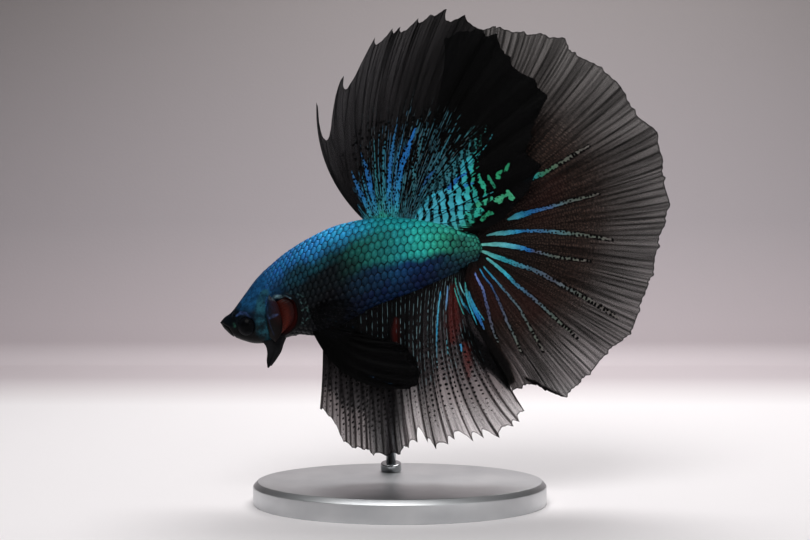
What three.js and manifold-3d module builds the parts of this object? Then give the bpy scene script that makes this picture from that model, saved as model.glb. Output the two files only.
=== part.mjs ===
// A male halfmoon betta (Siamese fighting fish), life size, swimming nose down on a plain display stand.
// Millimetres, +Z up. The nose points to -X and the left flank to -Y.
// The origin is the middle of the underside of the stand's base.
//
// The body is lofted over ribs. A fin is a box bent into a fan: each ray runs from its root to its tip on
// one bowed line, and the web between two rays falls back behind the first of them.

import * as THREE from "three";
import { mergeVertices } from "three/addons/utils/BufferGeometryUtils.js";
import Module from "manifold-3d";

const wasm = await Module();
wasm.setup();

// ---------------------------------------------------------------- driving dimensions

const NOSE = [-28.1, 28.3];
const TAIL_ROOT = [13.1, 40.0];
const SEAM = 0.1; // the air between two pieces that meet
const FIN_THICKNESS = 0.5;
const FACET_SLACK = 0.015; // facets that turn less than this are joined

// Ribs of the body from nose to tail root: top x, top z, bottom x, bottom z, half width.
const RIBS = [
  [...NOSE, ...NOSE, 0],
  [-27.5, 29.0, -27.6, 27.5, 0.9],
  [-26.5, 29.6, -26.2, 26.3, 1.7],
  [-25.3, 30.9, -24.3, 25.5, 2.4],
  [-24.0, 32.5, -22.3, 25.1, 3.0],
  [-22.5, 34.5, -19.4, 25.3, 3.5],
  [-20.6, 36.6, -16.0, 26.2, 3.8],
  [-18.0, 39.2, -13.5, 26.1, 4.0],
  [-14.7, 41.4, -10.8, 26.6, 4.15],
  [-10.8, 43.3, -7.0, 29.0, 4.1],
  [-6.7, 44.4, -2.9, 31.1, 3.8],
  [-2.6, 44.9, 0.5, 32.3, 3.4],
  [1.2, 44.8, 3.9, 33.7, 2.9],
  [5.1, 44.2, 7.1, 35.1, 2.3],
  [8.5, 43.3, 9.6, 36.3, 1.7],
  [10.8, 42.5, 11.3, 37.3, 1.25],
  [12.2, 41.9, 12.4, 38.0, 0.9],
  [...TAIL_ROOT, ...TAIL_ROOT, 0],
];
const LAST_RIB = RIBS.length - 1;

// Rib numbers where one piece of the body ends and the next begins.
const NECK_RIB = 7.05;
const STALK_RIB = 13.5;

const EYE = { x: -23.7, y: 1.65, z: 27.9, radius: 1.65 };

const BASE = { length: 46, depth: 30, height: 3.5, chamfer: 0.7 };
const ROD = { radius: 0.8, foot: [-1.5, 7.4], top: [-1.5, 2.4, 36.5] };
const COLLAR = { radius: 1.7, height: 1.4 };

// ---------------------------------------------------------------- curves

// The numbers of a table at a fractional row, on a smooth curve through all its rows.
function along(table, place) {
  const row = Math.min(Math.max(Math.floor(place), 0), table.length - 2);
  const f = place - row;
  const at = (i) => table[Math.min(Math.max(i, 0), table.length - 1)];
  const [a, b, c, d] = [at(row - 1), at(row), at(row + 1), at(row + 2)];
  return b.map((_, k) => {
    const pull = 2 * a[k] - 5 * b[k] + 4 * c[k] - d[k];
    const turn = 3 * (b[k] - c[k]) + d[k] - a[k];
    return b[k] + 0.5 * f * (c[k] - a[k] + f * (pull + f * turn));
  });
}

// One number from a short list spread evenly over 0 to 1.
const eased = (list, share) =>
  along(
    list.map((n) => [n]),
    share * (list.length - 1),
  )[0];

// A point of the body's surface, at a rib number and an angle from the back (0) round to the belly (pi).
// grow stands the point off the surface.
function bodyPoint(rib, angle, grow = 0) {
  const [topX, topZ, bottomX, bottomZ, halfWidth] = along(RIBS, rib);
  const [upX, upZ] = [(topX - bottomX) / 2, (topZ - bottomZ) / 2];
  const height = Math.hypot(upX, upZ);
  const rise = Math.cos(angle) * (1 + grow / Math.max(height, 0.3));
  const out = Math.sin(angle) * (Math.max(halfWidth, 0) + grow);
  return [
    (topX + bottomX) / 2 + upX * rise,
    out,
    (topZ + bottomZ) / 2 + upZ * rise,
  ];
}

// ---------------------------------------------------------------- solids

// A closed solid from a three.js geometry whose corners are moved by place(x, y, z).
function bent(geometry, place) {
  const points = geometry.getAttribute("position");
  for (let i = 0; i < points.count; i++)
    points.setXYZ(i, ...place(points.getX(i), points.getY(i), points.getZ(i)));
  return solidOf(geometry);
}

function solidOf(geometry) {
  const bare = geometry.clone().deleteAttribute("normal").deleteAttribute("uv");
  const { index, attributes } = mergeVertices(bare, 1e-4);
  const make = (triVerts) => {
    const vertProperties = attributes.position.array;
    return new wasm.Manifold(
      new wasm.Mesh({ numProp: 3, vertProperties, triVerts }),
    );
  };
  const triVerts = new Uint32Array(index.array);
  const solid = make(triVerts);
  return solid.volume() > 0 ? solid : make(triVerts.reverse());
}

// The three.js mesh of a solid.
function meshOf(name, solid, material) {
  const { numProp, vertProperties, triVerts } = solid.getMesh();
  const geometry = new THREE.BufferGeometry();
  geometry.setAttribute(
    "position",
    new THREE.BufferAttribute(vertProperties, numProp),
  );
  geometry.setIndex(new THREE.BufferAttribute(triVerts, 1));
  geometry.computeVertexNormals();
  const mesh = new THREE.Mesh(geometry, material);
  mesh.name = name;
  return mesh;
}

// The whole body, grown by a little when it is used to cut what meets it.
function bodySolid(grow = 0) {
  const [around, lengthwise] = [24, 32];
  const ball = new THREE.SphereGeometry(1, around, lengthwise);
  return bent(ball, (x, y, z) => {
    const rib = (Math.acos(THREE.MathUtils.clamp(y, -1, 1)) / Math.PI) * LAST_RIB;
    return bodyPoint(rib, Math.atan2(z, x), grow);
  });
}

// How far the web has fallen back behind a ray, as a share of the notch's depth, at a share f of the way
// to the next ray.
const webFall = (f) => Math.sin(Math.PI * Math.pow(THREE.MathUtils.clamp(f, 0, 1), 0.63));

// A curve from 0 up to 1 and back to 0. The higher early is, the sooner it peaks.
function bulge(v, early) {
  const peak = Math.pow(early, early) / Math.pow(1 + early, 1 + early);
  return (v * Math.pow(1 - v, early)) / peak;
}

// A fan of rays.
// tips: the rays' ends as x, z.  notch: how deep the web falls back behind each ray.
// root(share): a point of the root line.  spread: where along that line the rays start, spaced over the fan.
// bow: how far a ray's middle stands off its straight line, and early how soon it does.
// sway: how far a ray's tip leans to the right side, and lean how evenly it gets there.
function fan({
  tips,
  notch,
  root,
  spread = [0, 1],
  bow,
  early = 1,
  sway,
  lean = 1.3,
  rows,
  columns = 2,
}) {
  const gaps = tips.length - 1;
  const box = new THREE.BoxGeometry(1, 1, 1, gaps * columns, rows, 1);
  return bent(box, (x, y, z) => {
    const share = x + 0.5;
    const place = share * gaps;
    const gap = Math.min(Math.floor(place + 1e-6), gaps - 1);
    const [tipX, tipZ] = along(tips, place);
    const [rootX, rootY, rootZ] = root(eased(spread, share));
    const [runX, runZ] = [tipX - rootX, tipZ - rootZ];
    const length = Math.hypot(runX, runZ);
    const fall = Math.min((notch[gap] * webFall(place - gap)) / length, 0.6);
    const v = (y + 0.5) * (1 - fall);
    const off = (bulge(v, early) * eased(bow, share)) / length;
    return [
      rootX + runX * v - runZ * off,
      rootY + eased(sway, share) * Math.pow(v, lean) + z * FIN_THICKNESS,
      rootZ + runZ * v + runX * off,
    ];
  });
}

const mirrored = (solid) => solid.mirror([0, 1, 0]);

// ---------------------------------------------------------------- fins

// Roots lie a little inside the body, and the body then cuts them to its own surface.
const ROOT_DEPTH = 0.7;

// The root line of a middle fin, along the back (angle 0) or the belly (angle pi), between two ribs.
const rootLine = (fromRib, toRib, angle) => (share) =>
  bodyPoint(THREE.MathUtils.lerp(fromRib, toRib, share), angle, -ROOT_DEPTH);

const dorsalFin = fan({
  tips: [
    [-12.9, 62.9], [-8.8, 67.1], [-3.9, 73.0], [-1.1, 74.5], [0.1, 74.8], [2.9, 76.1],
    [5.0, 76.9], [7.4, 77.6], [10.2, 76.4], [13.2, 74.0], [15.3, 73.4], [17.3, 69.6],
    [21.2, 66.1], [23.0, 63.2], [20.5, 56.7], [22.1, 52.6], [19.9, 48.6], [16.3, 44.6],
  ],
  root: rootLine(10.3, 13.3, 0),
  spread: [0, 0.25, 0.47, 0.62, 1],
  bow: [2.3, 2.6, 2.2, 1.6, 1.3, 1.4, 0.9, 0.3],
  sway: [0.2, -0.5, 0.3, -0.9, -1.5, -2.2, -2.0],
  notch: [6.8, 2.9, 1.4, 0.7, 1.2, 0.9, 0.6, 1.9, 0.5, 0.8, 0.6, 0.7, 0.6, 0.8, 1.2, 0.9, 0.6],
  rows: 6,
  columns: 3,
  lean: 0.9,
});

const tailFin = fan({
  tips: [
    [7.0, 73.5], [9.6, 74.6], [12.4, 74.9], [14.9, 75.3], [16.1, 75.1], [19.7, 74.4],
    [22.6, 74.3], [26.5, 73.5], [27.9, 71.1], [31.5, 69.1], [35.1, 65.6], [37.3, 61.7],
    [40.8, 58.4], [41.9, 53.7], [42.2, 51.0], [43.0, 47.0], [42.2, 43.4], [41.1, 40.0],
    [40.2, 35.9], [39.1, 33.5], [37.8, 29.7], [36.6, 26.5], [34.8, 24.9], [32.7, 23.0],
    [30.1, 20.0], [28.1, 18.2], [26.0, 16.4], [22.8, 17.6], [20.7, 18.5], [18.8, 17.9],
    [17.6, 17.5],
  ],
  // The rays start round the end of the stalk, from back to belly, and the last ones further forward.
  root: (share) => {
    const forward = THREE.MathUtils.smoothstep(share, 0.9, 1);
    const [x, , z] = bodyPoint(16.2 - 1.6 * forward, Math.PI * share, -0.2);
    return [x - ROOT_DEPTH, -0.45 * forward, z];
  },
  spread: [0.06, 0.08, 0.11, 0.16, 0.31, 0.53, 0.74, 0.9, 0.96],
  bow: [6.0, 3.4, 2.2, 1.5, 1.0, 0.6, -0.1, -1.0, -2.4],
  early: 2,
  sway: [2.2, 1.6, 2.4, 1.2, 2.0, 0.9, 1.4, 0.2, -1.1],
  notch: [
    0.3, 0.3, 0.3, 0.2, 0.3, 0.4, 0.5, 0.6, 0.7, 0.5, 0.5, 0.5, 0.6, 0.4, 0.5,
    0.5, 0.5, 0.5, 0.4, 0.7, 0.5, 0.4, 0.4, 0.5, 0.5, 0.5, 0.4, 0.3, 0.3, 0.2,
  ],
  rows: 5,
  lean: 0.6,
});

const analFin = fan({
  tips: [
    [-12.6, 14.5], [-11.1, 13.4], [-8.8, 9.6], [-7.3, 8.5], [-5.5, 8.2], [-4.1, 7.4],
    [-1.9, 7.2], [0.1, 7.5], [1.4, 8.7], [2.8, 9.4], [4.4, 9.3], [5.7, 8.4],
    [7.6, 9.1], [8.6, 9.9], [11.5, 9.7], [13.2, 10.1], [15.7, 10.1], [17.9, 11.9],
    [18.9, 12.5], [19.7, 14.2], [18.4, 15.5], [17.6, 17.5],
  ],
  root: (share) => {
    const [x, , z] = rootLine(7.6, 14.5, Math.PI)(share);
    return [x, 0.4 * THREE.MathUtils.smoothstep(share, 0.8, 1), z];
  },
  spread: [0, 0.3, 0.62, 0.86, 1],
  bow: [0.5, 0.3, -0.3, -0.6, -1.0, -1.6, -1.6, -0.4],
  sway: [-0.2, -0.9, -0.5, -0.7, 0.1, -0.5, -0.1, 0.6, 0.7],
  notch: [
    0.3, 0.5, 0.4, 0.3, 0.4, 0.5, 0.5, 0.7, 0.7, 2.2, 0.9, 0.7, 0.9, 1.3, 1.2, 1.4,
    0.9, 0.6, 0.7, 0.9, 0.7,
  ],
  rows: 6,
});

// A pelvic fin sweeps back from the throat. The left one is built, and the right one is its twin.
const pelvicFin = fan({
  tips: [
    [3.2, 18.2], [3.5, 19.4], [3.0, 21.4], [2.2, 23.5], [0.6, 25.0], [-2.2, 25.8], [-6.4, 26.9],
  ],
  root: (share) => [-13.6 + 2.6 * share, -1.5, 26.9 + 0.8 * share],
  bow: [-3.1, -2.1, -1.3, -0.6, 0],
  sway: [-1.0, -1.2, -1.1, -0.7],
  notch: [0.4, 0.4, 0.4, 0.5, 0.6, 0.5],
  rows: 4,
});

const pectoralFin = fan({
  tips: [[-7.6, 32.0], [-6.5, 31.0], [-6.0, 29.4], [-6.3, 27.7], [-7.6, 26.5], [-9.8, 26.0]],
  root: (share) => [-14.0 + 0.5 * share, -3.5, 30.6 - 1.6 * share],
  bow: [0.5, 0.3, -0.3, -0.7],
  sway: [-2.0, -2.5, -2.2],
  notch: [0.3, 0.3, 0.3, 0.3, 0.4],
  rows: 3,
});

// ---------------------------------------------------------------- gill covers

// A curved plate on the head's left side. rib and angle are functions of two shares, from the plate's front
// edge to its back one and from its top to its bottom. low and high are the heights of its two faces.
function flankPlate(rib, angle, low, high, [across, down]) {
  const box = new THREE.BoxGeometry(1, 1, 1, across, down, 1);
  return bent(box, (x, y, z) => {
    const [back, lower] = [x + 0.5, y + 0.5];
    const grow = z < 0 ? low(back, lower) : high(back, lower);
    const [px, py, pz] = bodyPoint(rib(back, lower), angle(back, lower), grow);
    return [px, -py, pz];
  });
}

// The plate's hinge, its free edge, and the red chamber behind it that it leaves open, from top to bottom.
const HINGE = { ribs: [5.45, 5.15, 5.05, 4.95, 4.9, 4.8], top: 1.25, bottom: 2.55 };
const FREE_EDGE_RIBS = [5.75, 5.85, 5.8, 5.7, 5.5, 5.35];
const CHAMBER = { ribs: [6.3, 6.7, 6.68, 6.45, 6.05, 5.5], top: 1.4, bottom: 2.7, depth: 0.9 };
const FLAP_LIFT = 1.0;

const gillRib = (far) => (back, lower) =>
  THREE.MathUtils.lerp(eased(HINGE.ribs, lower), eased(far, lower), back);
const gillAngle =
  ({ top, bottom }) =>
  (back, lower) =>
    THREE.MathUtils.lerp(top, bottom, lower);

const gillChamber = flankPlate(
  gillRib(CHAMBER.ribs),
  gillAngle(CHAMBER),
  () => -CHAMBER.depth,
  () => 1.5,
  [3, 5],
);

const flapLift = (back) => FLAP_LIFT * back - 0.3 * (1 - back);
const gillCover = flankPlate(
  gillRib(FREE_EDGE_RIBS),
  gillAngle(HINGE),
  flapLift,
  (back) => flapLift(back) + FIN_THICKNESS,
  [3, 6],
);

// The dark skin of the gill cover's lower edge, hanging as a pointed lobe under the throat.
const gillMembrane = (() => {
  const edge = [
    [-21.0, 25.1, -20.6, 21.3],
    [-20.3, 25.3, -20.4, 21.3],
    [-19.6, 25.5, -19.7, 22.0],
    [-18.9, 25.7, -18.8, 23.4],
    [-18.1, 25.9, -18.2, 24.9],
  ];
  const box = new THREE.BoxGeometry(1, 1, 1, 8, 5, 1);
  return bent(box, (x, y, z) => {
    const [rootX, rootZ, tipX, tipZ] = along(edge, (x + 0.5) * (edge.length - 1));
    const down = y + 0.5;
    return [
      rootX + (tipX - rootX) * down,
      -1.0 - 0.9 * down + z * FIN_THICKNESS,
      rootZ + (tipZ - rootZ) * down,
    ];
  });
})();

// ---------------------------------------------------------------- head, trunk and stalk

const whole = bodySolid();
const cutter = bodySolid(SEAM);

// The two halves of a solid on either side of the body's rib, with a seam between them.
function splitAtRib(solid, rib) {
  const [topX, topZ, bottomX, bottomZ] = along(RIBS, rib);
  const normal = new THREE.Vector3(topZ - bottomZ, 0, bottomX - topX).normalize();
  const offset = normal.x * topX + normal.z * topZ;
  const tailward = [normal.x, normal.y, normal.z];
  const noseward = [-normal.x, -normal.y, -normal.z];
  return [
    solid.trimByPlane(noseward, SEAM / 2 - offset),
    solid.trimByPlane(tailward, offset + SEAM / 2),
  ];
}

// The mouth is a thin slot that runs down and back from the nose, and parts the jaw from the head.
const mouthSlot = (() => {
  const line = [
    [-28.6, 28.5],
    [-27.6, 28.0],
    [-26.7, 27.5],
    [-26.1, 26.6],
    [-25.6, 25.2],
  ];
  const box = new THREE.BoxGeometry(1, 1, 1, 6, 1, 1);
  return bent(box, (x, y, z) => {
    const [px, pz] = along(line, (x + 0.5) * (line.length - 1));
    return [px + z * SEAM, y * 8, pz + z * SEAM];
  });
})();

function eyeball(grow = 0) {
  const ball = new THREE.SphereGeometry(EYE.radius + grow, 14, 9);
  return solidOf(ball.translate(EYE.x, -EYE.y, EYE.z));
}

const [front, trunkAndStalk] = splitAtRib(whole, NECK_RIB);
const [trunk, tailStalk] = splitAtRib(trunkAndStalk, STALK_RIB);
const pitted = [eyeball(SEAM), gillChamber].reduce(
  (head, pit) => head.subtract(pit).subtract(mirrored(pit)),
  front,
);
const [headSolid, jawSolid] = pitted
  .subtract(mouthSlot)
  .simplify(FACET_SLACK)
  .decompose()
  .sort((a, b) => b.volume() - a.volume());

// ---------------------------------------------------------------- stand

// An oval plate with a chamfered top edge.
function standBase() {
  const { length, depth, height, chamfer } = BASE;
  const rim = length / 2;
  const profile = [
    [0, 0],
    [rim, 0],
    [rim, height - chamfer],
    [rim - chamfer, height],
    [0, height],
  ].map(([r, z]) => new THREE.Vector2(r, z));
  const plate = new THREE.LatheGeometry(profile, 40);
  return bent(plate, (x, y, z) => [x, (-z * depth) / length, y]);
}

// A round bar between two points.
function bar(from, to, radius, sides = 16) {
  const [a, b] = [new THREE.Vector3(...from), new THREE.Vector3(...to)];
  const run = b.clone().sub(a);
  const shape = new THREE.CylinderGeometry(radius, radius, run.length(), sides);
  const turn = new THREE.Quaternion().setFromUnitVectors(
    new THREE.Vector3(0, 1, 0),
    run.clone().normalize(),
  );
  shape.applyQuaternion(turn).translate(...a.add(b).multiplyScalar(0.5));
  return solidOf(shape);
}

const [footX, footY] = ROD.foot;
const footAt = (height) => [footX, footY, BASE.height + height];
const rodOf = (radius) => bar(footAt(-2), ROD.top, radius);
const standRod = rodOf(ROD.radius)
  .trimByPlane([0, 0, 1], BASE.height + SEAM)
  .subtract(cutter);
const standCollar = bar(
  footAt(SEAM),
  footAt(COLLAR.height),
  COLLAR.radius,
  20,
).subtract(rodOf(ROD.radius + SEAM));

// ---------------------------------------------------------------- the model

const finish = (color, roughness, metalness = 0) =>
  new THREE.MeshStandardMaterial({ color, roughness, metalness });

const FINISHES = {
  scales: finish(0x1f8f92, 0.35, 0.3),
  head: finish(0x23506b, 0.45, 0.1),
  eye: finish(0x0b0d12, 0.08),
  gill: finish(0x3a2b38, 0.4),
  fin: finish(0x17191c, 0.5),
  steel: finish(0xb9bcc0, 0.3, 1),
  aluminium: finish(0xc9cacb, 0.4, 1),
};

const offBody = (solid) => solid.subtract(cutter).simplify(FACET_SLACK);
const pairs = [
  ["eye", eyeball(), FINISHES.eye],
  ["gill_cover", offBody(gillCover), FINISHES.gill],
  ["gill_membrane", offBody(gillMembrane), FINISHES.fin],
  ["pectoral_fin", offBody(pectoralFin), FINISHES.fin],
  ["pelvic_fin", offBody(pelvicFin), FINISHES.fin],
];

const fish = new THREE.Group();
fish.add(
  meshOf("head", headSolid, FINISHES.head),
  meshOf("lower_jaw", jawSolid, FINISHES.head),
  meshOf("trunk", trunk, FINISHES.scales),
  meshOf("tail_stalk", tailStalk, FINISHES.scales),
  meshOf("dorsal_fin", offBody(dorsalFin), FINISHES.fin),
  meshOf("tail_fin", offBody(tailFin), FINISHES.fin),
  meshOf("anal_fin", offBody(analFin), FINISHES.fin),
);
for (const [name, solid, material] of pairs)
  fish.add(
    meshOf(`${name}_left`, solid, material),
    meshOf(`${name}_right`, mirrored(solid), material),
  );

const stand = new THREE.Group();
stand.add(
  meshOf("stand_base", standBase(), FINISHES.aluminium),
  meshOf("stand_collar", standCollar, FINISHES.steel),
  meshOf("stand_rod", standRod, FINISHES.steel),
);

const model = new THREE.Group();
model.add(fish, stand);

export default model;
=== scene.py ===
"""A male halfmoon betta, life size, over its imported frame: scaled skin, gills, eyes, rayed fins and stand.

Sizes in the sections are millimetres. The nose points to -X, the left flank to -Y, and up is +Z.
"""

import math

import bmesh
import bpy
import numpy as np
from mathutils import Matrix, Vector


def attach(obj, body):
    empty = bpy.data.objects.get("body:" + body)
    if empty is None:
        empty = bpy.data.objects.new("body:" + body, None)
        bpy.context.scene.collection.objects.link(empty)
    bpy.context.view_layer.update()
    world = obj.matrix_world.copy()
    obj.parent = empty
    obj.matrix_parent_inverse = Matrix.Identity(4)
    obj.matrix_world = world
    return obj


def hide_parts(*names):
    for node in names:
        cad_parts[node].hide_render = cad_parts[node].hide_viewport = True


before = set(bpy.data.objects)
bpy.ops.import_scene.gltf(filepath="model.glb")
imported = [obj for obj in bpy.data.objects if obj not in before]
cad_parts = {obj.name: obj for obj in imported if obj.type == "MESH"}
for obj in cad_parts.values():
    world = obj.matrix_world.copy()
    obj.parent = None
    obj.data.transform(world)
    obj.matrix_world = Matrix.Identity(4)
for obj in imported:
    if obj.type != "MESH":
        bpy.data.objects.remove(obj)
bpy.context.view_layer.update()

MM = 0.001

# ---------------------------------------------------------------- studio
# A pale matt floor that turns up into a paper wall, as for a museum's catalogue picture; painted shade makes
# the wall grey, darker towards its top.
# It is lit by wide soft panels, and the viewer is level with the fish and close to its left side.

scene = bpy.context.scene
scene.view_settings.view_transform = "Standard"


def linear(code):
    """An sRGB hex colour as the linear red, green, blue and alpha that a node takes."""
    parts = [int(code[i : i + 2], 16) / 255 for i in (1, 3, 5)]
    return (*[c / 12.92 if c <= 0.04045 else ((c + 0.055) / 1.055) ** 2.4 for c in parts], 1.0)


def add(tree, kind, inputs=(), stops=(), **settings):
    """Adds one node. Its inputs are values or what is linked in: by socket, or a list from the first socket on,
    which for MapRange is the value, the range it comes from and the range it goes to. The stops are a ramp's
    places and colours."""
    node = tree.nodes.new("ShaderNode" + kind)
    for name, value in settings.items():
        setattr(node, name, value)
    for i, (place, code) in enumerate(stops):
        element = node.color_ramp.elements[i] if i < 2 else node.color_ramp.elements.new(place)
        element.position = place
        element.color = linear(code)
    for socket, value in inputs.items() if isinstance(inputs, dict) else enumerate(inputs):
        if isinstance(value, bpy.types.Node):
            value = value.outputs[0]
        if isinstance(value, bpy.types.NodeSocket):
            tree.links.new(value, node.inputs[socket])
        else:
            node.inputs[socket].default_value = value
    return node


def join(tree, node, **sources):
    """Links each source to the socket of its name, which has _ for each space."""
    for socket, source in sources.items():
        tree.links.new(source.outputs[0], node.inputs[socket.replace("_", " ")])


def new_material(name, **sockets):
    """A Principled material and its node tree. The sockets' names have _ for each space."""
    material = bpy.data.materials.new(name)
    material.use_nodes = True
    shader = material.node_tree.nodes["Principled BSDF"]
    for socket, value in sockets.items():
        shader.inputs[socket.replace("_", " ")].default_value = value
    return material, material.node_tree, shader


def piece_from(name, bm, *materials):
    """A smooth-shaded object from a bmesh in millimetres."""
    mesh = bpy.data.meshes.new(name)
    bm.to_mesh(mesh)
    bm.free()
    mesh.transform(Matrix.Scale(MM, 4))
    for face in mesh.polygons:
        face.use_smooth = True
    for material in materials:
        mesh.materials.append(material)
    piece = bpy.data.objects.new(name, mesh)
    scene.collection.objects.link(piece)
    return piece


SWEEP_RADIUS = 9
WALL_Y = 240
WALL_TOP = 700
FLOOR_HALF = 900
DIMS_FROM_Y = 118  # where painted shade on the floor begins, growing darker towards the wall
DIM_HEIGHT = 142  # the height on the wall where the painted shade is darkest
SHARE_AT_WALL = 0.1  # how much painted shade the paper has where the floor ends

# Seamless background paper: matt and a little rough. Its colour is painted shade, from a dark top of the wall
# down to a bright floor.
paper, tree, shader = new_material("background paper", Roughness=0.9)
place = add(tree, "TexCoord").outputs["Object"]
parts = add(tree, "SeparateXYZ", [place]).outputs
share_back = add(tree, "MapRange", [parts["Y"], DIMS_FROM_Y * MM, WALL_Y * MM, 0.0, SHARE_AT_WALL])
share_up = add(tree, "MapRange", [parts["Z"], 0.0, DIM_HEIGHT * MM, 0.0, 1 - SHARE_AT_WALL])
share_up = add(tree, "Math", [share_up, share_back], operation="ADD")
# Painted shade: the paper darkens up the wall, and on the floor towards the wall.
painted_shade_grade = add(
    tree, "ValToRGB", [share_up],
    [
        (0.0, "#efebec"), (0.02, "#e2dcdd"), (0.06, "#c6bcbf"), (0.2, "#c2b9bc"), (0.45, "#a69fa2"),
        (1.0, "#7f7979"),
    ],
)
fibre = add(tree, "TexNoise", {"Vector": place, "Scale": 900.0, "Detail": 3.0})
tooth = add(tree, "Bump", {"Height": fibre, "Strength": 0.15, "Distance": 0.0002})
join(tree, shader, Base_Color=painted_shade_grade, Normal=tooth)


def verts_of(geom):
    return [v for v in geom if isinstance(v, bmesh.types.BMVert)]


bm = bmesh.new()
turn = [(math.sin(a) - 1, 1 - math.cos(a)) for a in np.linspace(0, math.pi / 2, 13)]
profile = [
    (-FLOOR_HALF, 0), *[(WALL_Y + SWEEP_RADIUS * y, SWEEP_RADIUS * z) for y, z in turn], (WALL_Y, WALL_TOP)
]
line = [bm.verts.new((-FLOOR_HALF, y, z)) for y, z in profile]
edges = [bm.edges.new(pair) for pair in zip(line, line[1:])]
swept = bmesh.ops.extrude_edge_only(bm, edges=edges)["geom"]
bmesh.ops.translate(bm, verts=verts_of(swept), vec=(2 * FLOOR_HALF, 0, 0))
bmesh.ops.recalc_face_normals(bm, faces=bm.faces)
backdrop = piece_from("backdrop", bm, paper)

world = bpy.data.worlds.new("soft room")
scene.world = world
world.use_nodes = True
world.node_tree.nodes["Background"].inputs["Color"].default_value = linear("#f2f4f8")
world.node_tree.nodes["Background"].inputs["Strength"].default_value = 0.1


def soft_panel(name, place, aim, size, watts):
    """A square white panel that faces its aim."""
    lamp = bpy.data.lights.new(name, "AREA")
    lamp.size = size * MM
    lamp.energy = watts
    panel = bpy.data.objects.new(name, lamp)
    panel.location = Vector(place) * MM
    panel.rotation_euler = (Vector(aim) - Vector(place)).to_track_quat("-Z", "Y").to_euler()
    scene.collection.objects.link(panel)


soft_panel("key panel", (-40, -200, 260), (0, 0, 35), 180, 0.6)
soft_panel("fill panel", (170, -260, 90), (0, 0, 40), 200, 0.1)
soft_panel("wall panel", (50, 150, 300), (50, 240, 60), 220, 1.0)

VIEW_FROM = Vector((0.8, -165, 36.5))
camera = bpy.data.objects.new("camera", bpy.data.cameras.new("camera"))
camera.data.lens = 46.6
camera.data.sensor_width = 36.0
camera.data.clip_start = 0.005
camera.location = VIEW_FROM * MM
camera.rotation_euler = (math.pi / 2, 0, 0)
scene.collection.objects.link(camera)
scene.camera = camera

# ---------------------------------------------------------------- display stand
# An oval plate of bead-blasted aluminium, turned collar and bright steel rod.
# The rod is pressed through the collar into the plate, leans forward, and ends in the fish's right side.

BASE = {"length": 46, "depth": 30, "height": 3.5, "chamfer": 0.7, "rounding": 0.12}
ROD_RADIUS = 0.8
ROD_FOOT = Vector((-1.5, 7.4, 3.5))
ROD_TOP = Vector((-1.5, 2.4, 36.5))
COLLAR_RADIUS = 1.7
COLLAR_HEIGHT = 1.4

# Bead-blasted aluminium: pale, even and silky, with a fine frosted grain and no direction.
# Real blasting leaves pits near 0.05 mm. They are drawn at 0.2 mm so that they show.
aluminium, tree, shader = new_material("bead-blasted aluminium", Metallic=1.0)
place = add(tree, "TexCoord").outputs["Object"]
pits = add(tree, "TexNoise", {"Vector": place, "Scale": 5000.0, "Detail": 4.0})
handled = add(tree, "TexNoise", {"Vector": place, "Scale": 120.0, "Detail": 3.0})
tone = add(tree, "ValToRGB", [handled], [(0.3, "#c6c8ca"), (0.7, "#d8d9da")])
frost = add(tree, "MapRange", [pits, 0.0, 1.0, 0.34, 0.5])
grain = add(tree, "Bump", {"Height": pits, "Strength": 0.25, "Distance": 0.00005})
join(tree, shader, Base_Color=tone, Roughness=frost, Normal=grain)

# Drawn stainless steel, polished: bright, with faint lines round the rod from turning, 0.15 mm apart.
steel, tree, shader = new_material("polished stainless steel", Metallic=1.0)
place = add(tree, "TexCoord").outputs["Object"]
turned = add(
    tree, "TexWave", {"Vector": place, "Scale": 1050.0, "Distortion": 1.5, "Detail": 2.0}, bands_direction="Z"
)
smear = add(tree, "TexNoise", {"Vector": place, "Scale": 400.0, "Detail": 3.0})
tone = add(tree, "ValToRGB", [smear], [(0.3, "#b4b7ba"), (0.7, "#c8cacc")])
shine = add(tree, "MapRange", [smear, 0.0, 1.0, 0.14, 0.28])
lines = add(tree, "Bump", {"Height": turned, "Strength": 0.12, "Distance": 0.00002})
join(tree, shader, Base_Color=tone, Roughness=shine, Normal=lines)


def finish_piece(piece, slot, *nodes):
    """The piece rides with the fish and stands for these nodes, which it hides. Its slot is not used."""
    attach(piece, "root")
    if nodes:
        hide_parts(*nodes)
    return piece


def bevel(bm, edges, width, segments):
    bmesh.ops.bevel(
        bm, geom=edges, offset=width, affect="EDGES", segments=segments, profile=0.5, material=-1,
        clamp_overlap=True,
    )


bm = bmesh.new()
bmesh.ops.create_circle(bm, cap_ends=True, segments=144, radius=BASE["length"] / 2)
bmesh.ops.scale(bm, vec=(1, BASE["depth"] / BASE["length"], 1), verts=bm.verts)
raised = bmesh.ops.extrude_face_region(bm, geom=list(bm.faces), use_keep_orig=True)["geom"]
bmesh.ops.translate(bm, verts=verts_of(raised), vec=(0, 0, BASE["height"]))
bmesh.ops.recalc_face_normals(bm, faces=bm.faces)
rim = [e for e in bm.edges if all(v.co.z > BASE["height"] - 0.01 for v in e.verts) and len(e.link_faces) == 2]
bevel(bm, rim, BASE["chamfer"], 1)
edge = [e for e in bm.edges if e.is_manifold and e.calc_face_angle(0) > 0.3]
bevel(bm, edge, BASE["rounding"], 3)
finish_piece(piece_from("stand_base_plate", bm, aluminium), "stand_aluminium", "stand_base")

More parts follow.
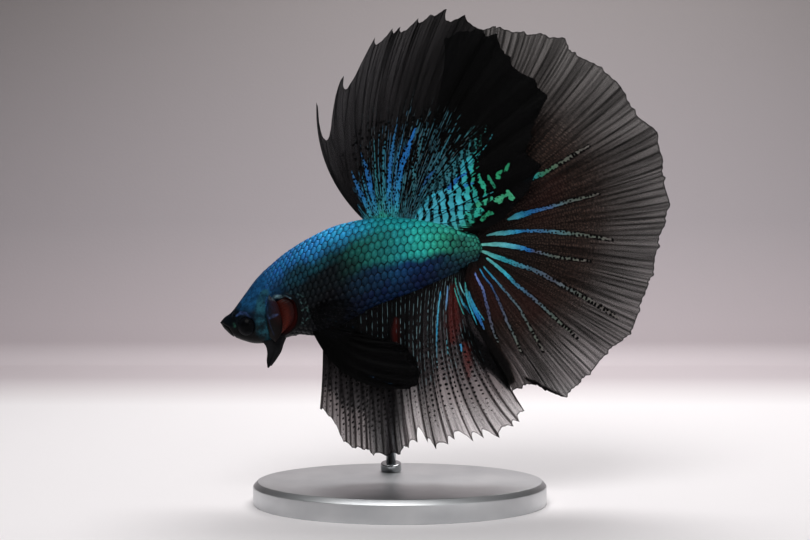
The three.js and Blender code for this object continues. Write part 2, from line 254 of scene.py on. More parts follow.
rod_run = ROD_TOP - ROD_FOOT
rod_turn = rod_run.to_track_quat("Z", "Y").to_matrix().to_4x4()
for name, radius, length, rounding, node in [
    ("stand_rod_bar", ROD_RADIUS, rod_run.length, 0.1, "stand_rod"),
    ("stand_collar_ring", COLLAR_RADIUS, COLLAR_HEIGHT, 0.25, "stand_collar"),
]:
    bm = bmesh.new()
    bmesh.ops.create_cone(bm, cap_ends=True, segments=64, radius1=radius, radius2=radius, depth=length)
    bmesh.ops.translate(bm, verts=bm.verts, vec=(0, 0, length / 2))
    ends = [e for e in bm.edges if abs(e.verts[0].co.z - e.verts[1].co.z) < 1e-4]
    bevel(bm, ends, rounding, 3)
    bmesh.ops.transform(bm, matrix=Matrix.Translation(ROD_FOOT) @ rod_turn, verts=bm.verts)
    for v in bm.verts:
        v.co.z = max(v.co.z, BASE["height"])
    finish_piece(piece_from(name, bm, steel), "stand_steel", node)

# ---------------------------------------------------------------- skin of the body
# One unbroken skin from the nose to the tail root, over head, jaw, trunk and stalk.
# It is soft and dark, and the scales grow out of it, so it lies inside the body by their depth.

# Ribs of the body: top x, top z, bottom x, bottom z, half width.
RIBS = np.array(
    [
        [-28.3, 28.2, -28.3, 28.2, 0],
        [-27.5, 29.0, -27.6, 27.5, 0.9],
        [-26.5, 29.6, -26.2, 26.3, 1.7],
        [-25.3, 30.9, -24.3, 25.5, 2.4],
        [-24.0, 32.5, -22.3, 25.1, 3.0],
        [-22.5, 34.5, -19.4, 25.3, 3.5],
        [-20.6, 36.6, -16.0, 26.2, 3.8],
        [-18.0, 39.2, -13.5, 26.1, 4.0],
        [-14.7, 41.4, -10.8, 26.6, 4.15],
        [-10.8, 43.3, -7.0, 29.0, 4.1],
        [-6.7, 44.4, -2.9, 31.1, 3.8],
        [-2.6, 44.9, 0.5, 32.3, 3.4],
        [1.2, 44.8, 3.9, 33.7, 2.9],
        [5.1, 44.2, 7.1, 35.1, 2.3],
        [8.5, 43.3, 9.6, 36.3, 1.7],
        [10.8, 42.5, 11.3, 37.3, 1.25],
        [12.2, 41.9, 12.4, 38.0, 0.9],
        [13.1, 40.0, 13.1, 40.0, 0],
    ]
)
LAST_RIB = len(RIBS) - 1
COAT = 0.12  # how deep the skin lies under the tops of the scales
NAPE = {"x": -22.9, "reach": 3.6, "height": 0.65}  # a low crest behind the eyes
EYE = {"x": -23.7, "y": 1.65, "z": 27.9, "radius": 1.65}
MOUTH = [(-28.6, 28.5), (-27.6, 28.0), (-26.7, 27.5), (-26.1, 26.6), (-25.6, 25.2)]
CHEEK_GROOVE = [(-19.8, 32.8), (-20.7, 32.0), (-20.8, 30.3), (-20.5, 29.0), (-20.0, 27.2), (-19.6, 26.4)]


def along(table, place):
    """The rows of a table at fractional places, on a smooth curve through all of them."""
    table = np.asarray(table, float)
    place = np.asarray(place, float)
    row = np.clip(np.floor(place).astype(int), 0, len(table) - 2)
    f = (place - row)[..., None]
    a, b, c, d = (table[np.clip(row + k, 0, len(table) - 1)] for k in (-1, 0, 1, 2))
    return b + 0.5 * f * (c - a + f * (2 * a - 5 * b + 4 * c - d + f * (3 * (b - c) + d - a)))


def eased(numbers, share):
    """One number from a short list spread evenly over 0 to 1."""
    return along(np.array(numbers, float)[:, None], np.asarray(share, float) * (len(numbers) - 1))[..., 0]


def smooth(low, high, value):
    t = np.clip((np.asarray(value, float) - low) / (high - low), 0, 1)
    return t * t * (3 - 2 * t)


def body(place, angle, grow=0.0):
    """Points of the body at rib places and angles from the back (0) down the left side to the belly (pi)."""
    top_x, top_z, bottom_x, bottom_z, half_width = np.moveaxis(along(RIBS, place), -1, 0)
    up_x, up_z = (top_x - bottom_x) / 2, (top_z - bottom_z) / 2
    nape = NAPE["height"] * np.exp(-(((top_x - NAPE["x"]) / NAPE["reach"]) ** 2)) * (
        1 - smooth(0.3, 1.15, np.abs(angle))
    )
    rise = np.cos(angle) * (1 + (grow + nape) / np.maximum(np.hypot(up_x, up_z), 0.3))
    out = np.sin(angle) * (np.maximum(half_width, 0) + grow)
    return np.stack([(top_x + bottom_x) / 2 + up_x * rise, -out, (top_z + bottom_z) / 2 + up_z * rise], -1)


def nearness(x, z, path, width):
    """1 on a line in side view, a half at its half width, and 0 at twice that. width may change along it."""
    widths = np.broadcast_to(np.asarray(width, float), (len(path),))
    best = np.zeros(np.shape(x))
    for (ax, az), (bx, bz), wa, wb in zip(path, path[1:], widths, widths[1:]):
        run_x, run_z = bx - ax, bz - az
        t = np.clip(((x - ax) * run_x + (z - az) * run_z) / max(run_x**2 + run_z**2, 1e-9), 0, 1)
        gap = np.hypot(x - ax - t * run_x, z - az - t * run_z)
        best = np.maximum(best, np.clip(1 - 0.5 * gap / (wa + (wb - wa) * t), 0, 1))
    return best


# The gill opening, as rib places from top to bottom: where the flap is hinged, its free edge, and the
# back of the open chamber.
HINGE = {"ribs": [5.45, 5.15, 5.05, 4.95, 4.9, 4.8], "top": 1.25, "bottom": 2.55}
FREE_EDGE_RIBS = [5.65, 5.85, 5.82, 5.7, 5.45, 5.05]
CHAMBER = {"ribs": [6.3, 6.7, 6.68, 6.45, 6.05, 5.5], "top": 1.4, "bottom": 2.7, "depth": 0.9}


def bump_at(x, z, at, reach):
    """1 at a place in side view, falling off softly over a reach in x and in z."""
    return np.exp(-(((x - at[0]) / reach[0]) ** 2 + ((z - at[1]) / reach[1]) ** 2))


def ring(distance, middle, width):
    """1 where a distance has its middle value, falling off softly on both sides."""
    return np.exp(-(((distance - middle) / width) ** 2))


def gill_share(angle):
    """How far down the gill opening an angle is, 0 at its top and 1 at its bottom."""
    return np.clip((angle - CHAMBER["top"]) / (CHAMBER["bottom"] - CHAMBER["top"]), 0, 1)


def head_relief(place, angle):
    """How far the skin stands above or below the plain body, in millimetres, from its bones and folds."""
    x, y, z = np.moveaxis(body(place, angle), -1, 0)
    side = np.abs(angle)
    from_eye = np.hypot(x - EYE["x"], z - EYE["z"])
    off_middle = smooth(0.5, 1.2, np.abs(y))
    socket = 0.05 * ring(from_eye, 2.0, 0.36) - 0.9 * (1 - smooth(1.05, 1.48, from_eye))
    brow = 0.16 * nearness(x, z, [(-26.0, 29.1), (-24.6, 29.9), (-23.0, 29.6)], 0.5)
    snout = -0.16 * bump_at(x, z, (-26.35, 29.5), (0.3, 0.6))
    nostril = np.hypot(x + 25.75, z - 29.35)
    pit = 0.12 * ring(nostril, 0.3, 0.14) - 0.3 * ring(nostril, 0, 0.2)
    slot = nearness(x, z, MOUTH, 0.11)
    lips = 0.12 * nearness(x, z, MOUTH[:4], 0.42) - 0.2 * slot**1.5
    chin = 0.2 * smooth(0.4, 1.2, place) * (1 - smooth(4.0, 5.2, place)) * smooth(1.9, 2.8, side)
    groove = -0.22 * nearness(x, z, CHEEK_GROOVE, 0.22) ** 1.5
    cheek = 0.22 * bump_at(x, z, (-21.9, 28.2), (0.9, 1.5))
    lower = gill_share(side)
    within = smooth(CHAMBER["top"] - 0.06, CHAMBER["top"] + 0.08, side)
    within = within * (1 - smooth(CHAMBER["bottom"] - 0.1, CHAMBER["bottom"] + 0.04, side))
    hinge = eased(HINGE["ribs"], lower)
    shoulder = eased(CHAMBER["ribs"], lower)
    opening = within * smooth(hinge - 0.1, hinge + 0.15, place) * (
        1 - smooth(shoulder - 0.12, shoulder, place)
    )
    rim = 0.14 * within * ring(place - shoulder, 0.1, 0.12)
    lips = lips * smooth(0.3, 1.6, place)
    sides = off_middle * (socket + brow + snout + pit + cheek + groove)
    return sides + lips + chin + rim - CHAMBER["depth"] * opening


def coat_depth(place):
    """The bare snout and cheeks have no coat; the rest of the body lies inside it."""
    return COAT * smooth(3.4, 5.0, place)


# The markings: what shines on the head, each as a line in side view with its half width, its hue from
# green (0) through grey teal and blue to a silvery blue (1), and its strength. The silvery blue line is a
# painted highlight where the wet skin catches the light.
HEAD_SHINE = [
    ([(-25.4, 29.4), (-24.7, 29.85), (-23.9, 29.8), (-23.1, 29.2)], [0.12, 0.22, 0.2, 0.1], 0.85, 0.5),
    ([(-25.8, 28.05), (-25.7, 27.8)], 0.2, 0.0, 0.75),
    ([(-22.0, 29.6), (-21.8, 28.6), (-21.9, 27.6)], 0.2, 0.0, 0.6),
    (
        [(-20.9, 33.0), (-21.4, 31.6), (-21.5, 30.0), (-21.3, 28.4), (-20.9, 26.9), (-20.6, 26.2)],
        [0.6, 0.75, 0.7, 0.7, 0.85, 0.5], 0.35, 0.95,
    ),
    (
        [(-20.6, 32.3), (-20.55, 31.0), (-20.3, 29.0), (-19.9, 27.4), (-19.5, 26.5)],
        [0.14, 0.13, 0.13, 0.13, 0.12], 0.85, 0.8,
    ),
    ([(-24.6, 31.2), (-23.0, 32.0), (-22.2, 33.6), (-20.5, 34.8)], [0.7, 1.3, 1.5, 1.6], 0.62, 0.62),
    # A painted highlight along the wet top of the gill cover, in the silvery blue.
    ([(-19.9, 31.9), (-19.2, 32.4), (-17.9, 32.3), (-16.9, 32.1)], [0.15, 0.22, 0.25, 0.15], 1.0, 0.8),
]
# What darkens the head: the pigment round the eye, and the brown black snout and jaws.
HEAD_SHADE = [
    ([(-28.5, 28.2), (-26.6, 28.2)], 2.2, 0.5),
    ([(-26.5, 26.6), (-23.5, 25.4), (-20.5, 25.3)], 1.6, 0.6),
    ([(-24.6, 27.9), (-22.8, 27.7)], 2.3, 0.85),
]


def store(mesh, **fields):
    """Keeps each number per vertex as an attribute that the materials read."""
    for name, values in fields.items():
        attribute = mesh.attributes.new(name, "FLOAT", "POINT")
        attribute.data.foreach_set("value", np.asarray(values, np.float32).ravel())


def reshape(mesh, points):
    mesh.vertices.foreach_set("co", (np.asarray(points) * MM).astype(np.float32).ravel())
    mesh.update()


def places(mesh):
    """Where each vertex is, in the mesh's own units."""
    found = np.empty(len(mesh.vertices) * 3, np.float32)
    mesh.vertices.foreach_get("co", found)
    return found.reshape(-1, 3).astype(float)


def corners(mesh):
    """The vertex of each face corner."""
    found = np.empty(len(mesh.loops), np.int32)
    mesh.loops.foreach_get("vertex_index", found)
    return found


def store_map(mesh, name, uv):
    """uv holds one pair per face corner."""
    mesh.uv_layers.new(name=name).data.foreach_set("uv", np.asarray(uv, np.float32).ravel())


def painted(x, z, marks):
    """What the nearest marks give each place: how strongly it shines, and in which hue."""
    shine = np.zeros(np.shape(x))
    hue = np.zeros(np.shape(x))
    for path, width, tint, strength in marks:
        near = smooth(0.0, 0.85, nearness(x, z, path, width)) * strength
        hue = np.where(near > shine, tint, hue)
        shine = np.maximum(shine, near)
    return shine, hue


def shaded(x, z):
    shade = np.zeros(np.shape(x))
    for path, width, strength in HEAD_SHADE:
        shade = np.maximum(shade, smooth(0.0, 0.7, nearness(x, z, path, width)) * strength)
    return shade


def flank_colour(tree):
    """The colours of skin and scales, from the back to the belly and from the nose to the tail root."""
    place = add(tree, "TexCoord").outputs["Object"]
    lie = add(tree, "UVMap", uv_map="body").outputs["UV"]
    down = add(tree, "SeparateXYZ", [lie]).outputs["Y"]
    x = add(tree, "SeparateXYZ", [place]).outputs["X"]
    blotch = add(tree, "TexNoise", {"Vector": place, "Scale": 380.0, "Detail": 3.0})
    spread = add(tree, "Math", [blotch, 0.5], operation="SUBTRACT")
    down = add(tree, "Math", [spread, 0.16, down], operation="MULTIPLY_ADD")
    back_share = add(tree, "MapRange", [x, -0.028, 0.014])
    band = {}
    for name, stops in {
        "back": [
            (0.0, "#17181d"), (0.07, "#142c40"), (0.14, "#174470"), (0.21, "#1c609c"), (0.33, "#2784c6"),
            (0.45, "#2c9cd2"), (0.52, "#2899be"), (0.58, "#1d8c92"), (0.67, "#209aa2"), (0.76, "#28aca6"),
            (0.84, "#34a894"), (0.95, "#329484"),
        ],
        "side": [
            (0.0, "#16171c"), (0.07, "#142835"), (0.14, "#17405f"), (0.21, "#16395a"), (0.26, "#133442"),
            (0.31, "#113644"), (0.37, "#13404c"), (0.445, "#0e2d2e"), (0.52, "#195c54"), (0.595, "#1d6e6c"),
            (0.67, "#228e90"), (0.74, "#2cb2a8"), (0.81, "#2c9a80"), (0.89, "#246256"), (0.95, "#2c7a68"),
        ],
        "brink": [
            (0.0, "#16171c"), (0.07, "#142835"), (0.14, "#17405f"), (0.21, "#153048"), (0.26, "#10242e"),
            (0.31, "#0c1519"), (0.37, "#0a1014"), (0.43, "#0a1215"), (0.49, "#12302e"), (0.55, "#175750"),
            (0.62, "#1d7270"), (0.67, "#228e90"), (0.74, "#2cb2a8"), (0.81, "#2c9a80"), (0.89, "#246256"),
            (0.95, "#2c7a68"),
        ],
        "low": [
            (0.0, "#16171a"), (0.2, "#111317"), (0.31, "#090b0e"), (0.41, "#08090d"), (0.46, "#0a121a"),
            (0.52, "#0f283a"), (0.61, "#11324e"), (0.67, "#11385e"), (0.74, "#0f2c52"), (0.81, "#102542"),
            (0.89, "#1a4448"), (0.95, "#24544a"),
        ],
        "keel": [
            (0.0, "#17181b"), (0.3, "#0d0e11"), (0.45, "#08090d"), (0.52, "#0c152a"), (0.6, "#0d2242"),
            (0.67, "#0f2648"), (0.76, "#0e1c3a"), (0.86, "#122634"), (0.95, "#17363c"),
        ],
    }.items():
        band[name] = add(tree, "ValToRGB", [back_share], stops)
    mixed = band["back"]
    for name, start, end in [
        ("side", 0.2, 0.36), ("brink", 0.38, 0.47), ("low", 0.49, 0.6), ("keel", 0.63, 0.76)
    ]:
        share = add(tree, "MapRange", [down, start, end], interpolation_type="SMOOTHSTEP")
        mixed = add(tree, "MixRGB", [share, mixed, band[name]])
    return mixed, place, x


# Living fish skin: thin, dark and moist over black pigment, so it is nearly black with a soft wet gloss.
# Its pores and pigment grains are about 0.15 mm apart, and the head shines blue where it is bare.
skin, tree, shader = new_material(
    "moist pigmented skin", IOR=1.4, Specular_IOR_Level=0.08, Coat_Weight=0.02, Coat_Roughness=0.25
)
colour, place, x = flank_colour(tree)
scaled = add(tree, "MapRange", [x, -0.0205, -0.0165])
dim = add(tree, "MixRGB", [scaled, linear("#d8d8d8"), linear("#4c5560")])
base = add(tree, "MixRGB", [1.0, colour, dim], blend_type="MULTIPLY")
field = {
    key: add(tree, "Attribute", attribute_name=key).outputs["Fac"] for key in ("shine", "hue", "shade", "red")
}
pores = add(tree, "TexNoise", {"Vector": place, "Scale": 4200.0, "Detail": 4.0, "Roughness": 0.65})
flecks = add(tree, "TexVoronoi", {"Vector": place, "Scale": 1500.0, "Randomness": 1.0})
clouds = add(tree, "TexNoise", {"Vector": place, "Scale": 1100.0, "Detail": 3.0, "Roughness": 0.6})
shade = add(tree, "MixRGB", [field["shade"], linear("#ffffff"), linear("#3a3034")])
base = add(tree, "MixRGB", [1.0, base, shade], blend_type="MULTIPLY")
lit = add(tree, "MapRange", [clouds, 0.36, 0.6, 0.35])
lit = add(tree, "Math", [lit, field["shine"]], operation="MULTIPLY", use_clamp=True)
# Its last stop, a silvery blue, is the colour of the painted highlights.
tint = add(
    tree, "ValToRGB", [field["hue"]],
    [(0.0, "#234a3e"), (0.35, "#1d4652"), (0.65, "#164a74"), (0.85, "#3c5484"), (1.0, "#7799a4")],
)
base = add(tree, "MixRGB", [lit, base, tint])
speck = add(tree, "MapRange", [flecks, 0.14, 0.36, 0.5])
base = add(tree, "MixRGB", [1.0, base, speck], blend_type="MULTIPLY")
mottled = add(tree, "MapRange", [clouds, 0.32, 0.66, 0.6, 1.35])
base = add(tree, "MixRGB", [1.0, base, mottled], blend_type="MULTIPLY")
base = add(tree, "MixRGB", [field["red"], base, linear("#3c1412")])
damp = add(tree, "MapRange", [pores, 0.0, 1.0, 0.34, 0.58])
grain = add(tree, "Bump", {"Height": pores, "Strength": 0.35, "Distance": 0.00006})
join(tree, shader, Base_Color=base, Roughness=damp, Normal=grain)

AROUND = 208
LENGTHWISE = 370
bm = bmesh.new()
bmesh.ops.create_uvsphere(bm, u_segments=AROUND, v_segments=LENGTHWISE, radius=1.0)
body_skin = piece_from("body_skin", bm, skin)
mesh = body_skin.data
ball = places(mesh) / MM
lengthwise = np.arccos(np.clip(ball[:, 2], -1, 1)) / math.pi
rib_place = LAST_RIB * (lengthwise - 0.075 * np.sin(2 * math.pi * np.clip(lengthwise, 0, 1)))
around = np.arctan2(ball[:, 1], ball[:, 0])
points = body(rib_place, around, head_relief(rib_place, around) - coat_depth(rib_place))
reshape(mesh, points)
shine, hue = painted(points[:, 0], points[:, 2], HEAD_SHINE)
side = np.abs(around)
lower = gill_share(side)
pit = smooth(-0.1, 0.2, rib_place - eased(HINGE["ribs"], lower))
pit = pit * (1 - smooth(-0.1, 0.02, rib_place - eased(CHAMBER["ribs"], lower)))
pit = pit * smooth(CHAMBER["top"], CHAMBER["top"] + 0.1, side)
pit = pit * (1 - smooth(CHAMBER["bottom"] - 0.1, CHAMBER["bottom"], side))
store(mesh, shine=shine * (1 - pit), hue=hue, shade=shaded(points[:, 0], points[:, 2]), red=0.9 * pit)
vertex = corners(mesh)
store_map(mesh, "body", np.stack([rib_place[vertex] / LAST_RIB, side[vertex] / math.pi], -1))
finish_piece(body_skin, "scaled_skin", "head", "lower_jaw", "trunk", "tail_stalk")

# ---------------------------------------------------------------- scales
# Thin, hard plates of bone under clear skin, backed by crystals that shine blue and green.
# Each grows out of a pocket and tips up a little at its back edge, in rows that run along the body.

COLUMN_FIRST, COLUMN_LAST = -22.4, 12.9
CHART_STEP = 0.1
APART = 4  # from one plate to the next in the row that is bent onto the fish
GROOVE = 0.05  # between neighbouring plates, along the body
BULGE = 0.02
TIP_UP = 0.035
SKIRT = 0.14  # how far a plate's sides reach down into its pocket
NEARBY = 0.15  # how far off the surface is read for its direction
PATCH = 0.0015  # half a plate's place on the map for baking
ROW_HEIGHT = [(-23, 0.7), (-18, 0.85), (-14, 1.1), (-9, 1.25), (4, 1.28), (8, 1.1), (13, 0.55)]
SPACING = [(-23, 0.55), (-18, 0.66), (-14, 0.82), (-9, 0.98), (5, 1.05), (8, 0.95), (13, 0.5)]
# The outline of a plate: a tall hexagon with soft corners, in shares of the spacing and the row height.
PLATE = [(0, 0.65), (0.25, 0.5), (0.48, 0.32), (0.505, 0), (0.48, -0.32), (0.25, -0.5)]


def listed(table, x):
    return np.interp(x, [row[0] for row in table], [row[1] for row in table])


# A map of the left flank: the surface at each x and at each distance down from the back line.
grid_x = np.arange(-27.4, 13.0, CHART_STEP)
grid_angle = np.linspace(0, math.pi, 161)
low = np.zeros((len(grid_x), len(grid_angle)))
high = np.full_like(low, float(LAST_RIB))
for _ in range(26):
    middle = (low + high) / 2
    behind = body(middle, grid_angle[None, :])[..., 0] > grid_x[:, None]
    high = np.where(behind, middle, high)
    low = np.where(behind, low, middle)
grid_place = (low + high) / 2
grid_point = body(grid_place, grid_angle[None, :])
steps = np.linalg.norm(np.diff(grid_point, axis=1), axis=-1)
girth = np.concatenate([np.zeros((len(grid_x), 1)), np.cumsum(steps, axis=1)], axis=1)
grid_down = np.linspace(0, 21, 211)
chart = np.empty((len(grid_x), len(grid_down), 5))
for i in range(len(grid_x)):
    for k, known in enumerate([*grid_point[i].T, grid_place[i], grid_angle]):
        chart[i, :, k] = np.interp(grid_down, girth[i], known)
half_girth = girth[:, -1]


def flank(x, down):
    """Point, rib place and angle on the left flank. Past the back line it turns over to the right side."""
    i = np.clip((x - grid_x[0]) / CHART_STEP, 0, len(grid_x) - 1.001)
    j = np.clip(np.abs(down) / CHART_STEP, 0, len(grid_down) - 1.001)
    i0, j0 = i.astype(int), j.astype(int)
    fi, fj = (i - i0)[..., None], (j - j0)[..., None]
    found = (chart[i0, j0] * (1 - fi) + chart[i0 + 1, j0] * fi) * (1 - fj)
    found = found + (chart[i0, j0 + 1] * (1 - fi) + chart[i0 + 1, j0 + 1] * fi) * fj
    point = found[..., :3].copy()
    point[..., 1] = np.where(down < 0, -point[..., 1], point[..., 1])
    return point, found[..., 3], found[..., 4]


# Seats of the scales: every half step along the body every second row, counted from the midline.
columns = [COLUMN_FIRST]
while columns[-1] < COLUMN_LAST:
    columns.append(columns[-1] + float(listed(SPACING, columns[-1])) / 2)


def on_grid(step, row):
    """x and the distance down from the back line at a half step and a row of the scales."""
    x = np.interp(step, np.arange(len(columns)), columns)
    return x, np.interp(x, grid_x, half_girth) / 2 + row * listed(ROW_HEIGHT, x)


step, row = np.meshgrid(np.arange(len(columns)), np.arange(-13, 14))
step, row = step.ravel(), row.ravel()
seat_x, seat_down = on_grid(step, row)
_, seat_place, seat_angle = flank(seat_x, seat_down)
behind_opening = eased(CHAMBER["ribs"], gill_share(seat_angle)) + 0.22
gill_back = np.where(seat_angle < CHAMBER["top"], 5.6 + smooth(0.9, 1.4, seat_angle), behind_opening)
last_place = 16.75 - 0.9 * (2 * seat_angle / math.pi - 1) ** 2
kept = (step + row) % 2 == 0
kept = kept & (seat_down > -0.2) & (seat_down < np.interp(seat_x, grid_x, half_girth) - 0.3)
kept = kept & (seat_place > gill_back) & (seat_place < last_place)
rng = np.random.default_rng(7)
untidy = 0.03 + 0.12 * smooth(5, 10, seat_x) + 0.1 * smooth(-15, -20, seat_x)
stray = rng.normal(0, 1, (len(kept), 2)) * untidy[:, None]
seats = np.stack([step + stray[:, 0], row + 0.5 * stray[:, 1], seat_x, seat_down], -1)[kept]

# Scale plates: pearly, hard and moist. Crystals behind the plate give it a metal's colour and a soft
# highlight, and the dark pocket round it draws a net over the body.
plate, tree, shader = new_material(
    "iridescent scale plate", IOR=1.5, Specular_IOR_Level=0.08, Coat_Weight=0.02, Coat_Roughness=0.3
)
colour, place, x = flank_colour(tree)
tone = add(tree, "Attribute", attribute_name="tone").outputs["Fac"]
rim = add(tree, "Attribute", attribute_name="rim").outputs["Fac"]
turn_hue = add(tree, "MapRange", [tone, 0.0, 1.0, 0.49, 0.51])
turn_value = add(tree, "Math", [add(tree, "Math", [tone, 7.31], operation="MULTIPLY")], operation="FRACT")
turn_value = add(tree, "MapRange", [turn_value, 0.0, 1.0, 0.86, 1.14])
drift = add(tree, "HueSaturation", {"Color": colour, "Hue": turn_hue, "Value": turn_value})
pearl = add(tree, "TexNoise", {"Vector": place, "Scale": 3000.0, "Detail": 4.0, "Roughness": 0.6})
wavering = add(tree, "Math", [pearl, 0.3, rim], operation="MULTIPLY_ADD")
edge = add(tree, "MapRange", [wavering, 1.04, 1.2], interpolation_type="SMOOTHSTEP")
pocket = add(tree, "MixRGB", [0.8, colour, linear("#060a10")])
grains = add(tree, "MapRange", [pearl, 0.34, 0.64, 0.72, 1.22])
drift = add(tree, "MixRGB", [1.0, drift, grains], blend_type="MULTIPLY")
glint = add(tree, "Attribute", attribute_name="glint").outputs["Fac"]
sparks = add(tree, "TexNoise", {"Vector": place, "Scale": 2600.0, "Detail": 3.0})
sparks = add(tree, "MapRange", [sparks, 0.54, 0.62])
glint = add(tree, "Math", [sparks, glint], operation="MULTIPLY")
drift = add(tree, "MixRGB", [glint, drift, linear("#7fb3b0")])
base = add(tree, "MixRGB", [edge, drift, pocket])
metal = add(tree, "MapRange", [edge, 0.0, 1.0, 0.2, 0.0])
rough = add(tree, "MapRange", [pearl, 0.0, 1.0, 0.45, 0.65])
bump = add(tree, "Bump", {"Height": pearl, "Strength": 0.3, "Distance": 0.00005})
join(tree, shader, Base_Color=base, Metallic=metal, Roughness=rough, Normal=bump)

# Where single bright crystals show behind the gill opening: a line in side view and its half widths.
BEHIND_GILL = [(-17.5, 32.6), (-15.6, 31.6), (-15.0, 29.9), (-14.9, 28.6)], [0.5, 0.9, 0.9, 0.6]
for side, toward in (("left", 1), ("right", -1)):
    bm = bmesh.new()
    bmesh.ops.create_circle(bm, cap_ends=True, segments=12, radius=1.0)
    for thickness in (0.1, 0.45):
        bmesh.ops.inset_region(bm, faces=[max(bm.faces, key=lambda f: len(f.verts))], thickness=thickness)
    bmesh.ops.poke(bm, faces=[max(bm.faces, key=lambda f: len(f.verts))])
    outline = [e for e in bm.edges if e.is_boundary]
    skirt = bmesh.ops.extrude_edge_only(bm, edges=outline)["geom"]
    bmesh.ops.translate(bm, verts=verts_of(skirt), vec=(0, 0, -1))
    bmesh.ops.recalc_face_normals(bm, faces=bm.faces)
    scales = piece_from("scales_" + side, bm, plate)
    scales.data.transform(Matrix.Scale(1 / MM, 4))
    repeat = scales.modifiers.new("repeat", "ARRAY")
    repeat.count = len(seats)
    repeat.use_relative_offset = False
    repeat.use_constant_offset = True
    repeat.constant_offset_displace = (APART, 0, 0)
    mesh = bpy.data.meshes.new_from_object(scales.evaluated_get(bpy.context.evaluated_depsgraph_get()))
    scales.modifiers.clear()
    scales.data = mesh
    local = places(mesh)
    number = np.clip(np.round(local[:, 0] / APART).astype(int), 0, len(seats) - 1)
    across = local[:, 0] - APART * number
    distance = np.hypot(across, local[:, 1])
    corner = np.round(np.arctan2(across, local[:, 1]) / (math.pi / 6)).astype(int) % 12
    outline = np.array(PLATE + [(-a, -b) for a, b in PLATE])[corner] * distance[:, None]
    seat = seats[number]
    size = 1 - GROOVE / listed(SPACING, seat[:, 2])
    reach_x, reach_down = on_grid(seat[:, 0] + 2 * outline[:, 0] * size, seat[:, 1] - outline[:, 1] * size)
    point, rib_place, angle = flank(reach_x, reach_down)
    ahead, _, _ = flank(reach_x + NEARBY, reach_down)
    below, _, _ = flank(reach_x, reach_down + NEARBY)
    outward = np.cross(ahead - point, below - point)
    outward = outward / np.maximum(np.linalg.norm(outward, axis=-1, keepdims=True), 1e-9)
    facing = outward[:, 1] * point[:, 1] + outward[:, 2] * np.cos(angle)
    outward = outward * np.where(facing >= 0, 1, -1)[:, None]
    under = local[:, 2] < -0.5
    bulge = BULGE * (1 - np.minimum(distance, 1) ** 2)
    tip_up = TIP_UP * np.clip(0.5 + outline[:, 0], 0, 1)
    lift = -COAT + 0.03 + bulge + tip_up - SKIRT * under
    point = point + outward * lift[:, None]
    point[:, 1] = point[:, 1] * toward
    reshape(mesh, point)
    tones = rng.random(len(seats))
    glint = 0.16 * smooth(0.1, 0.6, nearness(point[:, 0], point[:, 2], *BEHIND_GILL))
    store(mesh, tone=tones[number], rim=np.minimum(distance, 1) + 0.3 * under, glint=glint)
    vertex = corners(mesh)
    store_map(mesh, "body", np.stack([rib_place / LAST_RIB, angle / math.pi], -1)[vertex])
    _, root_place, root_angle = flank(seats[:, 2], seats[:, 3])
    root = np.stack(
        [0.02 + 0.96 * root_place / LAST_RIB, 0.5 + toward * (0.01 + 0.47 * root_angle / math.pi)], -1
    )
    patch = root[number] + PATCH * np.stack([across, local[:, 1]], -1)
    store_map(mesh, "OFBake", patch[vertex])
    if toward < 0:
        mesh.flip_normals()
    finish_piece(scales, "scaled_skin")

# ---------------------------------------------------------------- gill covers, gills and throat
# A thin plate of bone under skin hangs from the cheek's hinge and stands open at its back edge.
# Behind it show the red combs of the gills, and under it hangs the dark, folded gill skin.

FLAP_LIFT = 1.0


def slab(columns, rows):
    """A closed sheet as a bmesh, in shares: x across, y along, and z 0 on one face and 1 on the other."""
    bm = bmesh.new()
    bmesh.ops.create_grid(bm, x_segments=columns, y_segments=rows, size=0.5)
    bmesh.ops.translate(bm, verts=bm.verts, vec=(0.5, 0.5, 0))
    copied = bmesh.ops.extrude_face_region(bm, geom=list(bm.faces), use_keep_orig=True)["geom"]
    bmesh.ops.translate(bm, verts=verts_of(copied), vec=(0, 0, 1))
    bmesh.ops.recalc_face_normals(bm, faces=bm.faces)
    return bm


def shares(mesh):
    """The three shares of each vertex of a slab, as piece_from left them."""
    return np.moveaxis(places(mesh) / MM, -1, 0)


def face_outward(mesh):
    """Turns the faces round where the shaping has left the closed sheet inside out."""
    bm = bmesh.new()
    bm.from_mesh(mesh)
    if bm.calc_volume(signed=True) < 0:
        bmesh.ops.reverse_faces(bm, faces=bm.faces)
        bm.to_mesh(mesh)
    bm.free()


def place_slab(piece, point, toward, slot, node=None, maps=None):
    """Bends a slab to its points on the left side, or mirrors it to the right, with its maps of share pairs."""
    point[:, 1] = point[:, 1] * toward
    reshape(piece.data, point)
    vertex = corners(piece.data)
    for name, pair in (maps or {}).items():
        store_map(piece.data, name, np.stack(pair, -1)[vertex])
    face_outward(piece.data)
    finish_piece(piece, slot, *([node] if node else []))


# Gill combs: soft red threads side by side, wet, full of blood and paler at their tips.
comb, tree, shader = new_material(
    "wet gill threads", IOR=1.38, Specular_IOR_Level=0.08, Coat_Weight=0.03, Coat_Roughness=0.3
)
shader.inputs["Roughness"].default_value = 0.4
place = add(tree, "TexCoord").outputs["Object"]
lie = add(tree, "SeparateXYZ", [add(tree, "UVMap", uv_map="threads").outputs["UV"]])
thread = add(tree, "Math", [lie.outputs["Y"], 30.0], operation="MULTIPLY")
thread = add(tree, "Math", [thread, 1.0], operation="PINGPONG")
blood = add(tree, "TexNoise", {"Vector": place, "Scale": 1500.0, "Detail": 3.0})
along_thread = add(tree, "Math", [blood, 0.3, lie.outputs["X"]], operation="MULTIPLY_ADD")
tint = add(
    tree, "ValToRGB", [along_thread],
    [(0.1, "#1a0c0c"), (0.45, "#44150f"), (0.8, "#521c13"), (1.0, "#32100f")],
)
